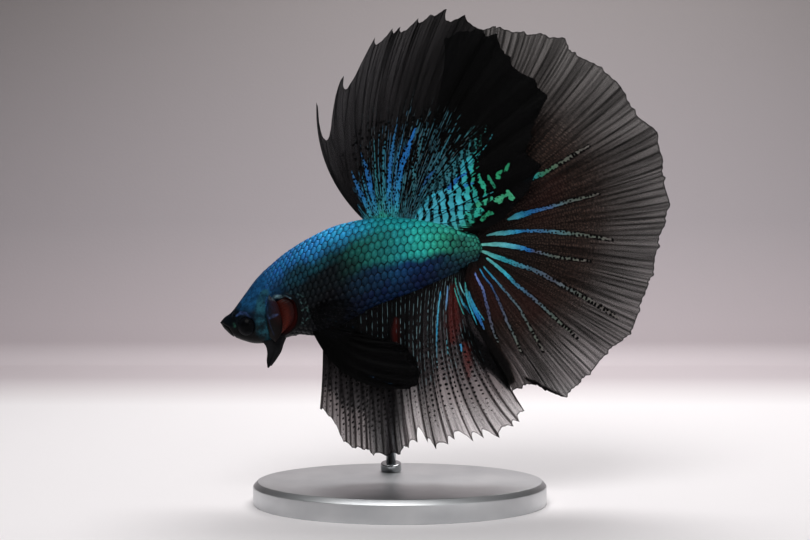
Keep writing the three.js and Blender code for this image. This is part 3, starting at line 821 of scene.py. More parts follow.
# Painted shade: the threads darken towards the top of the chamber, under the cover, and in the grooves between
# them.
shade_towards_top = add(tree, "MapRange", [lie.outputs["Y"], 0.15, 0.75, 0.45, 1.15])
tint = add(tree, "MixRGB", [1.0, tint, shade_towards_top], blend_type="MULTIPLY")
thread = add(tree, "MapRange", [thread, 0.0, 1.0, 0.72])
base = add(tree, "MixRGB", [1.0, tint, thread], blend_type="MULTIPLY")
join(tree, shader, Base_Color=base)

# Gill skin and fin skin at the throat: matt black pigment over soft skin, with a faint grey bloom.
throat, tree, shader = new_material("black throat skin", IOR=1.4, Specular_IOR_Level=0.15)
place = add(tree, "TexCoord").outputs["Object"]
mottle = add(tree, "TexNoise", {"Vector": place, "Scale": 1400.0, "Detail": 5.0, "Roughness": 0.6})
tint = add(tree, "ValToRGB", [mottle], [(0.3, "#060607"), (0.6, "#0c0c0f"), (0.8, "#151518")])
damp = add(tree, "MapRange", [mottle, 0.0, 1.0, 0.4, 0.65])
folds = add(tree, "Bump", {"Height": mottle, "Strength": 0.4, "Distance": 0.0001})
join(tree, shader, Base_Color=tint, Roughness=damp, Normal=folds)

# What shines on the gill covers. The first line, in silvery blue, is a painted highlight along the cover's wet
# top edge.
COVER_SHINE = [
    ([(-20.0, 32.2), (-18.9, 32.0)], [0.2, 0.25], 1.0, 0.3),
    ([(-20.0, 29.1), (-19.3, 29.5), (-18.6, 29.7)], [0.14, 0.2, 0.1], 0.86, 0.45),
    ([(-20.4, 31.0), (-20.2, 29.0), (-19.8, 27.4), (-19.4, 26.5)], [0.08], 0.85, 0.12),
]
# The front and back edges of the skin under the throat, from its root down to its point.
BEARD_FRONT = [(-21.9, 25.5), (-21.0, 24.7), (-20.7, 23.6), (-20.75, 22.4), (-20.6, 21.3)]
BEARD_BACK = [(-17.7, 26.4), (-18.4, 24.8), (-18.8, 23.6), (-19.6, 22.3), (-20.4, 21.25)]
for side, toward in (("left", 1), ("right", -1)):
    # The cover itself.
    cover = piece_from("gill_plate_" + side, slab(46, 64), skin)
    back, lower, face = shares(cover.data)
    rib_place = eased(HINGE["ribs"], lower) * (1 - back) + eased(FREE_EDGE_RIBS, lower) * back
    angle = HINGE["top"] + (HINGE["bottom"] - HINGE["top"]) * lower
    thickness = 0.42 * np.sqrt(np.clip(1 - back**6, 0.03, 1)) * np.sqrt(
        np.clip(1 - (2 * lower - 1) ** 8, 0.03, 1)
    )
    ridges = 0.04 * np.sin(9 * lower + 5 * back) * back
    lift = FLAP_LIFT * back - 0.3 * (1 - back) + face * (thickness + ridges)
    point = body(rib_place, angle, lift)
    shine, hue = painted(point[:, 0], point[:, 2], COVER_SHINE)
    shade = 0.6 + 0.4 * smooth(0.3, 0.6, lower)
    red = 0.3 * smooth(0.1, 0.9, back) * (1 - 0.85 * smooth(0.35, 0.7, lower))
    store(cover.data, shine=shine, hue=hue, shade=shade, red=red)
    maps = {"body": [rib_place / LAST_RIB, angle / math.pi]}
    place_slab(cover, point, toward, "scaled_skin", "gill_cover_" + side, maps)

    # The combs in the chamber behind it.
    gills = piece_from("gill_comb_" + side, slab(28, 240), comb)
    back, lower, face = shares(gills.data)
    inset = 0.06 + 0.88 * lower
    hinge = eased(HINGE["ribs"], inset)
    rib_place = hinge + (eased(CHAMBER["ribs"], inset) - 0.16 - hinge) * (0.15 + 0.85 * back)
    angle = CHAMBER["top"] + (CHAMBER["bottom"] - CHAMBER["top"]) * inset
    threads = 0.035 * np.abs(np.sin(30 * math.pi * lower / 2 + 1.2 * back)) * (0.4 + 0.6 * back)
    depth = -0.62 + 0.3 * np.sin(math.pi * back) - 0.25 * back + threads * face + 0.2 * face
    place_slab(gills, body(rib_place, angle, depth), toward, "gill_membrane", maps={"threads": [back, lower]})

    # The gill skin that hangs under the throat.
    beard = piece_from("throat_flap_" + side, slab(60, 60), throat)
    back, down, face = shares(beard.data)
    front_edge, back_edge = along(BEARD_FRONT, down * 4), along(BEARD_BACK, down * 4)
    outline = front_edge + (back_edge - front_edge) * back[:, None]
    half = (0.24 - 0.12 * down) * np.sqrt(np.clip(1 - (2 * back - 1) ** 6, 0.02, 1))
    wave = 0.16 * np.sin(9 * back + 2 * down) * down
    point = np.stack([outline[:, 0], -(1.0 + 0.7 * down + wave + (face - 0.5) * 2 * half), outline[:, 1]], -1)
    place_slab(beard, point, toward, "gill_membrane", "gill_membrane_" + side)

# ---------------------------------------------------------------- eyes
# A clear round ball with a wide black pupil in a thin iris that is almost as dark.
# It sits in a ring of skin and stands out of the cheek by a quarter of its width.

# Wet eye: a clear, very smooth cornea over a matt iris, so highlights are small and sharp.
eye, tree, shader = new_material(
    "wet eye", IOR=1.38, Specular_IOR_Level=0.02, Coat_Weight=0.05, Coat_Roughness=0.05, Coat_IOR=1.38
)
place = add(tree, "TexCoord").outputs["Object"]
centred = add(tree, "Mapping", {"Vector": place, "Location": (-EYE["x"] * MM, 0.0, -EYE["z"] * MM)})
parts = add(tree, "SeparateXYZ", [centred])
flat_place = add(tree, "CombineXYZ", {"X": parts.outputs["X"], "Z": parts.outputs["Z"]})
out = add(tree, "VectorMath", [flat_place], operation="LENGTH").outputs["Value"]
streaked = add(tree, "TexNoise", {"Vector": place, "Scale": 3000.0, "Detail": 4.0})
out = add(tree, "Math", [streaked, 0.00016, out], operation="MULTIPLY_ADD")
share_out = add(tree, "MapRange", [out, 0.0, 0.00175])
iris = add(
    tree, "ValToRGB", [share_out],
    [
        (0.0, "#050506"), (0.5, "#060608"), (0.56, "#0a0b0d"), (0.66, "#0c0d10"), (0.76, "#0b0c0f"),
        (0.84, "#0a0b0e"), (0.92, "#0c1013"), (1.0, "#0a0b0d"),
    ],
)
join(tree, shader, Base_Color=iris)
shader.inputs["Roughness"].default_value = 0.35

for side, toward in (("left", -1), ("right", 1)):
    bm = bmesh.new()
    bmesh.ops.create_uvsphere(bm, u_segments=64, v_segments=40, radius=EYE["radius"])
    bmesh.ops.rotate(bm, verts=bm.verts, matrix=Matrix.Rotation(math.pi / 2, 3, "X"))
    bmesh.ops.translate(bm, verts=bm.verts, vec=(EYE["x"], toward * EYE["y"], EYE["z"]))
    finish_piece(piece_from("eyeball_" + side, bm, eye), "eye", "eye_" + side)

# ---------------------------------------------------------------- fins
# Soft-rayed fins: a web one tenth of a millimetre thick over jointed bony rays that fork towards the edge.
# Black and brown pigment dims the web, and blue and green crystals shine in streaks along the rays.


def web_fall(f):
    """How far the web falls back between two ray tips, in shares of its notch."""
    return np.sin(math.pi * np.clip(f, 0, 1) ** 0.63)


def swell(v, early):
    peak = early**early / (1 + early) ** (1 + early)
    return v * np.clip(1 - v, 0, 1) ** early / peak


def fan(fin, share, v, cut=True):
    """Points of a fin's middle sheet, at a share of the way across its rays and a share v along them."""
    gaps = len(fin["tips"]) - 1
    place = share * gaps
    gap = np.clip(np.floor(place + 1e-6).astype(int), 0, gaps - 1)
    tip = along(fin["tips"], place)
    root_x, root_y, root_z = fin["root"](eased(fin["spread"], share))
    run_x, run_z = tip[..., 0] - root_x, tip[..., 1] - root_z
    length = np.hypot(run_x, run_z)
    if cut:
        f = place - gap
        fall = web_fall(f)
        if "thorn" in fin:
            fall = np.where(gap == 0, np.interp(f, *np.transpose(fin["thorn"])), fall)
        fall = np.minimum(np.array(fin["notch"])[gap] * fall / length, 0.6)
        v = v * (1 - fall)
    off = swell(v, fin["early"]) * eased(fin["bow"], share) / length
    return np.stack(
        [
            root_x + run_x * v - run_z * off,
            root_y + eased(fin["sway"], share) * np.clip(v, 0, None) ** fin["lean"],
            root_z + run_z * v + run_x * off,
        ],
        -1,
    )


def from_ray(fin, share, v):
    """How far a place is from the middle of a ray, in shares of the gap between two first rays. A fin's
    forks are the v at which every ray splits in two, and over how long a run. Some rays stay whole."""
    t = np.abs((share * fin["rays"] + fin["first"]) % 1.0 - 0.5)
    forked = 1 - smooth(fin["whole_from"] - 0.04, fin["whole_from"], share)
    spread = 0.25
    for start, end in fin["forks"]:
        t = np.abs(t - spread * smooth(start, end, v) * forked)
        spread = spread / 2
    return t


def from_half(tree, value):
    """How far the fraction of a value is from a half."""
    return add(
        tree, "Math",
        [add(tree, "Math", [add(tree, "Math", [value], operation="FRACT"), 0.5], operation="SUBTRACT")],
        operation="ABSOLUTE",
    )


def fin_finish(name, fin):
    """The material of one fin. Its tones are the colours of web, rays, painted glints on the rays and red
    patches.
    """
    tones = fin["tones"]
    material, tree, shader = new_material(name, IOR=1.4, Specular_IOR_Level=fin["gloss"])
    lie = add(tree, "SeparateXYZ", [add(tree, "UVMap", uv_map="rays").outputs["UV"]])
    u, v = lie.outputs["X"], lie.outputs["Y"]
    place = add(tree, "TexCoord").outputs["Object"]
    keys = ("span", "reach", "shine", "glow", "hue", "bloom", "veil", "dusk", "red", "bars", "beads", "ray_glint")
    field = {key: add(tree, "Attribute", attribute_name=key).outputs["Fac"] for key in keys}
    # The distance from the nearest branch of a ray, in millimetres.
    turned = add(tree, "Math", [u, float(fin["rays"]), fin["first"]], operation="MULTIPLY_ADD")
    aside = away = from_half(tree, turned)
    forked = add(
        tree, "MapRange", [u, fin["whole_from"] - 0.04, fin["whole_from"], 1.0, 0.0],
        interpolation_type="SMOOTHSTEP",
    )
    spread = 0.25
    for start, end in fin["forks"]:
        parted = add(tree, "MapRange", [v, start, end, 0.0, spread], interpolation_type="SMOOTHSTEP")
        parted = add(tree, "Math", [parted, forked], operation="MULTIPLY")
        away = add(tree, "Math", [away, parted], operation="SUBTRACT")
        away = add(tree, "Math", [away], operation="ABSOLUTE")
        spread = spread / 2
    away = add(tree, "Math", [away, field["span"]], operation="MULTIPLY")
    away = add(tree, "Math", [away, float(fin["rays"])], operation="DIVIDE")
    # Coordinates in millimetres that follow the rays: across them, and along them.
    over = add(tree, "Math", [u, fin["across"]], operation="MULTIPLY")
    flow = add(tree, "CombineXYZ", {"X": over, "Y": field["reach"]})

    def grown(across, lengthwise, detail):
        scaled = add(tree, "Mapping", {"Vector": flow, "Scale": (across, lengthwise, 1.0)})
        return add(tree, "TexNoise", {"Vector": scaled, "Scale": 1.0, "Detail": detail})

    folds = grown(0.45, 0.03, 2.0)
    threads = grown(2.6, 0.08, 2.0)
    weave = grown(5.5, 2.4, 1.0)
    dashes = grown(2.2, 0.8, 1.5)
    mottle = add(tree, "TexNoise", {"Vector": place, "Scale": 900.0, "Detail": 4.0})
    uneven = add(tree, "MapRange", [threads, 0.3, 0.7, -0.06, 0.06])
    away = add(tree, "Math", [away, uneven], operation="ADD")
    ray = add(tree, "MapRange", [away, 0.02, fin["ray_width"], 1.0, 0.0], interpolation_type="SMOOTHSTEP")
    bold = grown(0.8, 0.05, 2.0)
    bold = add(tree, "MapRange", [bold, 0.36, 0.6, fin["faint"], fin["firm"]])
    ray = add(tree, "Math", [ray, bold], operation="MULTIPLY")
    soft = add(tree, "MapRange", [field["dusk"], 0.2, 0.5, 1.0, 1 - 0.7 * fin["weave"]])
    ray = add(tree, "Math", [ray, soft], operation="MULTIPLY")
    margin = add(tree, "MapRange", [field["dusk"], 0.0, 0.22, fin["margin"]])
    ray = add(tree, "Math", [ray, margin], operation="MULTIPLY")
    # The web, from black at its root through brown to grey at its margin, woven of fine threads and dots.
    web = add(
        tree, "ValToRGB", [field["dusk"]], [(0.0, tones["pale"]), (0.5, tones["web"]), (1.0, tones["dark"])]
    )
    knots = add(tree, "Math", [turned, 8.0], operation="MULTIPLY")
    knots_along = add(tree, "Math", [field["reach"], 0.44], operation="DIVIDE")
    knots = add(tree, "CombineXYZ", {"X": knots, "Y": knots_along})
    knots = add(
        tree, "TexVoronoi", {"Vector": knots, "Scale": 1.0, "Randomness": 0.6}, voronoi_dimensions="2D"
    ).outputs["Distance"]
    knots = add(tree, "MapRange", [knots, 0.12, 0.5, 1.9, 0.6])
    knotted = add(tree, "MapRange", [field["dusk"], 0.2, 0.5, 0.0, fin["weave"]])
    web = add(tree, "MixRGB", [knotted, web, knots], blend_type="MULTIPLY")
    lines = add(tree, "MapRange", [threads, 0.38, 0.6, 1 - fin["thread"], 1 + 0.7 * fin["thread"]])
    web = add(tree, "MixRGB", [1.0, web, lines], blend_type="MULTIPLY")
    # Painted light and shade of long folds along the rays: the web is lighter and darker in streaks.
    shade = add(tree, "MapRange", [folds, 0.34, 0.62, 1 - fin["fold"], 1 + 0.8 * fin["fold"]])
    web = add(tree, "MixRGB", [1.0, web, shade], blend_type="MULTIPLY")
    web = add(tree, "MixRGB", [field["red"], web, linear(tones["red"])])
    halo = add(tree, "MapRange", [field["shine"], 0.1, 0.4, 0.0, 0.8])
    bright = add(tree, "MapRange", [field["glow"], 0.35, 0.9, 0.25])
    halo = add(tree, "Math", [halo, bright], operation="MULTIPLY")
    halo = add(tree, "Math", [halo, ray], operation="MAXIMUM")
    lined = add(tree, "Math", [halo, 0.9], operation="MULTIPLY")
    web = add(tree, "MixRGB", [lined, web, linear(tones["ray"])])
    # Crystals shine in streaks on the rays, which break up into beads, and in a bloom over the web.
    torn = grown(3.0, 1.2, 2.0)
    ragged = add(tree, "Math", [dashes, torn], operation="ADD")
    ragged = add(tree, "Math", [ragged, 0.5, -0.5], operation="MULTIPLY_ADD")
    streak = add(tree, "Math", [field["shine"], ragged], operation="ADD")
    streak = add(tree, "MapRange", [streak, 0.43, 0.5])
    strokes = grown(2.6, 0.25, 1.0)
    dense = add(tree, "Math", [strokes, 1.2, -0.6], operation="MULTIPLY_ADD")
    dense = add(tree, "Math", [ragged, 0.6, dense], operation="MULTIPLY_ADD")
    dense = add(tree, "Math", [dense, field["bloom"]], operation="ADD")
    dense = add(tree, "MapRange", [dense, 0.46, 0.54])
    hollow = add(tree, "MapRange", [aside, 0.015, 0.06])
    bloom = add(tree, "Math", [dense, hollow], operation="MULTIPLY")
    lit = add(tree, "Math", [streak, bloom], operation="MAXIMUM")
    # Black spots: rows of beads along the rays, and bars across the strips between them.
    beads_at = add(tree, "Math", [turned, fin["bead_rows"]], operation="MULTIPLY")
    beads_along = add(tree, "Math", [field["reach"], fin["bead_step"]], operation="DIVIDE")
    beads_at = add(tree, "CombineXYZ", {"X": beads_at, "Y": beads_along})
    beads = add(
        tree, "TexVoronoi", {"Vector": beads_at, "Scale": 1.0, "Randomness": fin["bead_stray"]},
        voronoi_dimensions="2D",
    ).outputs["Distance"]
    beads = add(tree, "Math", [torn, 0.3, beads], operation="MULTIPLY_ADD")
    beads = add(tree, "Math", [field["beads"], -0.3, beads], operation="MULTIPLY_ADD")
    spots = add(tree, "MapRange", [beads, 0.08, 0.16, 1.0, 0.0])
    # Where a streak dims, black dots eat into it from both sides.
    eaten = add(tree, "Mapping", {"Vector": flow, "Scale": (1.3, 1.7, 1.0)})
    eaten = add(
        tree, "TexVoronoi", {"Vector": eaten, "Scale": 1.0, "Randomness": 0.6}, voronoi_dimensions="2D"
    ).outputs["Distance"]
    eaten = add(tree, "Math", [field["glow"], 0.24, eaten], operation="MULTIPLY_ADD")
    eaten = add(tree, "Math", [field["shine"], 0.4, eaten], operation="MULTIPLY_ADD")
    eaten = add(tree, "MapRange", [eaten, 0.64, 0.72, 1.0, 0.0])
    on_streak = add(tree, "MapRange", [field["shine"], 0.16, 0.28])
    eaten = add(tree, "Math", [eaten, on_streak], operation="MULTIPLY")
    spots = add(tree, "Math", [spots, eaten], operation="MAXIMUM")
    if "bars" in fin["fields"]:
        # The bars stand nearly upright on the fish, 1.3 mm apart, ragged and broken.
        wave = add(tree, "TexNoise", {"Vector": place, "Scale": 650.0, "Detail": 1.5})
        stood = add(tree, "SeparateXYZ", [place])
        bar = add(tree, "Math", [stood.outputs["Z"], 0.15, stood.outputs["X"]], operation="MULTIPLY_ADD")
        bar = add(tree, "Math", [bar, 0.00132], operation="DIVIDE")
        bar = add(tree, "Math", [wave, 1.1, bar], operation="MULTIPLY_ADD")
        bar = add(tree, "Math", [torn, 0.35, from_half(tree, bar)], operation="MULTIPLY_ADD")
        bar = add(tree, "MapRange", [bar, 0.36, 0.42, 1.0, 0.0])
        broken = add(tree, "MapRange", [dashes, 0.36, 0.42])
        bar = add(tree, "Math", [bar, broken], operation="MULTIPLY")
        bar = add(tree, "Math", [bar, field["bars"]], operation="MULTIPLY", use_clamp=True)
        spots = add(tree, "Math", [spots, bar], operation="MAXIMUM")
    crystal = add(tree, "ValToRGB", [field["hue"]], CRYSTALS)
    dim = add(tree, "Math", [field["glow"], 1.0], operation="MINIMUM")
    crystal = add(tree, "MixRGB", [1.0, crystal, dim], blend_type="MULTIPLY")
    pale = add(tree, "MapRange", [field["glow"], 1.0, 2.0, 0.0, 0.7])
    crystal = add(tree, "MixRGB", [pale, crystal, linear("#9fdcd2")])
    drab = add(tree, "MapRange", [field["glow"], 0.9, 0.35, 0.0, 0.85])
    crystal = add(tree, "MixRGB", [drab, crystal, linear(tones["drab"])])
    glitter = add(tree, "MapRange", [mottle, 0.3, 0.7, 0.7, 1.25])
    crystal = add(tree, "MixRGB", [1.0, crystal, glitter], blend_type="MULTIPLY")
    base = add(tree, "MixRGB", [lit, web, crystal])
    # Painted glints: thin light lines along the rays where they catch the light, broken into dashes, and faint
    # on red patches.
    from_glint_line = add(tree, "Math", [turned, fin["glint_lines"]], operation="MULTIPLY")
    from_glint_line = add(tree, "Math", [from_half(tree, from_glint_line), field["span"]], operation="MULTIPLY")
    from_glint_line = add(tree, "Math", [from_glint_line, fin["rays"] * fin["glint_lines"]], operation="DIVIDE")
    from_glint_line = add(tree, "Math", [from_glint_line, uneven], operation="ADD")
    ray_glint = add(tree, "MapRange", [from_glint_line, 0.0, 0.07, 1.0, 0.0])
    glint_breaks = grown(3.0, 1.0, 1.0)
    glint_breaks = add(tree, "MapRange", [glint_breaks, 0.5, 0.56])
    ray_glint = add(tree, "Math", [ray_glint, glint_breaks], operation="MULTIPLY")
    calm = add(tree, "MapRange", [field["red"], 0.2, 0.6, 1.0, 0.15])
    ray_glint = add(tree, "Math", [ray_glint, calm], operation="MULTIPLY")
    ray_glint = add(tree, "Math", [ray_glint, field["ray_glint"]], operation="MULTIPLY", use_clamp=True)
    base = add(tree, "MixRGB", [ray_glint, base, linear(tones["ray_glint"])])
    # A thin dark hem runs along the margin.
    from_tip = add(tree, "Math", [field["reach"], v], operation="DIVIDE")
    from_tip = add(tree, "Math", [from_tip, field["reach"]], operation="SUBTRACT")
    from_tip = add(tree, "Math", [threads, -0.35, from_tip], operation="MULTIPLY_ADD")
    hem = add(tree, "MapRange", [from_tip, -0.14, 0.06, fin["hem"], 0.0])
    spots = add(tree, "Math", [spots, hem], operation="MAXIMUM")
    base = add(tree, "MixRGB", [spots, base, linear(tones["ray"])])
    metal = add(tree, "Math", [lit, 0.15], operation="MULTIPLY")
    # The two faces of the fin together let through what the veil leaves. Rays and crystals block the light.
    open_share = add(tree, "Math", [1.0, field["veil"]], operation="SUBTRACT")
    open_share = add(tree, "Math", [open_share, lines], operation="MULTIPLY")
    varied = add(tree, "MapRange", [folds, 0.34, 0.62, 1 - fin["fold"], 1 + fin["fold"]])
    open_share = add(tree, "Math", [open_share, varied], operation="MULTIPLY", use_clamp=True)
    through = add(tree, "Math", [open_share, 0.5], operation="POWER")
    solid = add(tree, "Math", [ray, lit], operation="MAXIMUM")
    solid = add(tree, "Math", [solid, spots], operation="MAXIMUM")
    open_web = add(tree, "MapRange", [solid, 0.0, 1.0, 1.0, 0.15])
    through = add(tree, "Math", [through, open_web], operation="MULTIPLY")
    alpha = add(tree, "Math", [1.0, through], operation="SUBTRACT", use_clamp=True)
    rough = add(tree, "MapRange", [mottle, 0.0, 1.0, 0.45, 0.65])
    raised = add(tree, "Math", [weave, 0.4, ray], operation="MULTIPLY_ADD")
    ribbed = add(tree, "Bump", {"Height": raised, "Strength": 0.5, "Distance": 0.0001})
    join(tree, shader, Base_Color=base, Metallic=metal, Roughness=rough, Alpha=alpha, Normal=ribbed)
    return material


def blended(rows, share, v):
    """A number over the fin from rows of (v, numbers spread across the fin)."""
    spread_rows = np.stack([eased(row[1] if len(row[1]) > 1 else row[1] * 2, share) for row in rows])
    place = np.clip(np.interp(v, [row[0] for row in rows], np.arange(len(rows))), 0, len(rows) - 1.0001)
    i = place.astype(int)
    pick = np.arange(np.size(share))
    return spread_rows[i, pick] * (1 - place + i) + spread_rows[i + 1, pick] * (place - i)


LIT_FROM = 0.25  # the shine from which a streak sets the colour


def followed(x, z, path, rows):
    """How near places are to a line in side view: 1 on it and a half at its half width, the first row.
    Also gives the other rows' numbers at the nearest part of the line."""
    near = np.zeros(len(x))
    given = np.ones((len(rows), len(x)))
    for i in range(len(path) - 1):
        run = path[i + 1] - path[i]
        t = np.clip(((x - path[i, 0]) * run[0] + (z - path[i, 1]) * run[1]) / max(run @ run, 1e-9), 0, 1)
        value = rows[:, i, None] * (1 - t) + rows[:, i + 1, None] * t
        gap = np.hypot(x - path[i, 0] - t * run[0], z - path[i, 1] - t * run[1])
        closer = np.clip(1 - 0.5 * gap / value[0], 0, 1)
        given = np.where(closer > near, value, given)
        near = np.maximum(near, closer)
    return near, given[1:]


def drawn(fin, path, spots):
    """A path's line in side view. The path is pairs of gap and share of the ray, read at fractional spots."""
    gap, v = (np.interp(spots, range(len(path)), [p[k] for p in path]) for k in (0, 1))
    return fan(fin, gap / (len(fin["tips"]) - 1), v, cut=False)[:, [0, 2]]


def make_fin(name, fin, nodes, toward=1):
    """Bends a slab into the fin, keeps its fields for the material, and puts it in its nodes' place."""
    sheet = piece_from(name, slab(fin["columns"], fin["rows"]), fin["material"])
    mesh = sheet.data
    share, v, face = shares(mesh)
    gaps = len(fin["tips"]) - 1
    away = from_ray(fin, share, v)
    d = 1e-3
    middle = fan(fin, share, v)
    right, left = np.clip(share + d, 0, 1), np.clip(share - d, 0, 1)
    side_step = (fan(fin, right, v) - fan(fin, left, v)) / (right - left)[:, None]
    ray_step = (fan(fin, share, v + d) - fan(fin, share, v - d)) / (2 * d)
    long = np.maximum(np.linalg.norm(ray_step[:, [0, 2]], axis=-1), 1e-6)
    span = np.abs(side_step[:, 0] * ray_step[:, 2] - side_step[:, 2] * ray_step[:, 0]) / long
    # Small scallops between the ends of the last branches, and a torn unevenness along the margin.
    nick = np.minimum(away * 2.0 ** (len(fin["forks"]) + 1), 1)
    worn = np.sin(share * gaps * 5.3) * np.sin(share * gaps * 2.1 + 1) * np.sin(share * gaps * 13.7 + 2)
    scallop = (fin["scallop"] * nick + fin["worn"] * worn) * smooth(0.9, 1.0, v)
    middle = middle - (ray_step / long[:, None]) * scallop[:, None]
    ridge = np.exp(-((away * span / fin["rays"] / 0.16) ** 2))
    thick = 0.05 + 0.07 * ridge * (1 - 0.6 * v) + fin["root_thick"] * np.exp(-((v / 0.07) ** 2))
    ripple = fin["ripple"] * np.sin(2 * math.pi * share * fin["folds"] + 2.0 * v) * smooth(0.1, 1.0, v)
    pleat = 0.10 * np.cos(2 * math.pi * (share * fin["rays"] + fin["first"])) * smooth(0.05, 0.4, v)
    middle[:, 1] += ripple + pleat + (face - 0.5) * 2 * thick
    middle[:, 1] *= toward
    reshape(mesh, middle)
    flat = fan(fin, share, v, cut=False)
    x, z = flat[:, 0], flat[:, 2]
    none = np.zeros(len(x))
    fields = {"span": span, "reach": v * long, "shine": none, "red": none}
    for key in ("glow", "bloom", "hue", "veil", "dusk", "bars", "beads", "ray_glint"):
        fields[key] = blended(
            fin["fields"][key], share, v
        ) if key in fin["fields"] else none + (key == "glow")
    for path, *rows in fin["streaks"]:
        spots = np.linspace(0, len(path) - 1, 3 * len(path) - 2)
        line = drawn(fin, path, spots)
        rows = np.stack([np.interp(spots, np.linspace(0, len(path) - 1, len(row)), row) for row in rows])
        near, (hue, strength, glow) = followed(x, z, line, rows)
        shine = near * strength
        lit = (shine > fields["shine"]) & (shine > LIT_FROM)
        fields["hue"] = np.where(lit, hue, fields["hue"])
        fields["glow"] = np.where(lit, glow, fields["glow"])
        fields["shine"] = np.maximum(fields["shine"], shine)
    for path, width, strength in fin.get("patches", []):
        line = drawn(fin, path, range(len(path)))
        near = smooth(0.0, 0.9, nearness(x, z, line, width)) * strength
        fields["red"] = np.maximum(fields["red"], near)
    for path, width in fin.get("black", []):
        line = drawn(fin, path, range(len(path)))
        near = smooth(0.3, 0.7, nearness(x, z, line, width))
        fields["dusk"] = np.maximum(fields["dusk"], near)
        fields["veil"] = fields["veil"] + (0.999 - fields["veil"]) * near
    store(mesh, **fields)
    vertex = corners(mesh)
    store_map(mesh, "rays", np.stack([share, v], -1)[vertex])
    store_map(
        mesh, "OFBake", np.stack([0.01 + 0.48 * share + 0.5 * (face > 0.5), 0.01 + 0.98 * v], -1)[vertex]
    )
    face_outward(mesh)
    finish_piece(sheet, "fin", *nodes)


ROOT_DEPTH = 0.7  # how far a fin's sheet reaches into the body


def root_line(first, last, angle):
    """The line a middle fin grows from, a little inside the body's back or belly."""

    def line(share):
        return np.moveaxis(
            body(first + (last - first) * share, np.full(np.shape(share), angle), -ROOT_DEPTH), -1, 0
        )

    return line


# The crystals' colours: brown-grey where they thin out, then green, teal, cyan, blue, deep blue and violet.
CRYSTALS = [
    (0.0, "#6d625b"), (0.12, "#2f9460"), (0.3, "#2c9c86"), (0.5, "#3aa6bd"), (0.7, "#2873b4"),
    (0.85, "#1d4c98"), (1.0, "#6a82c4"),
]

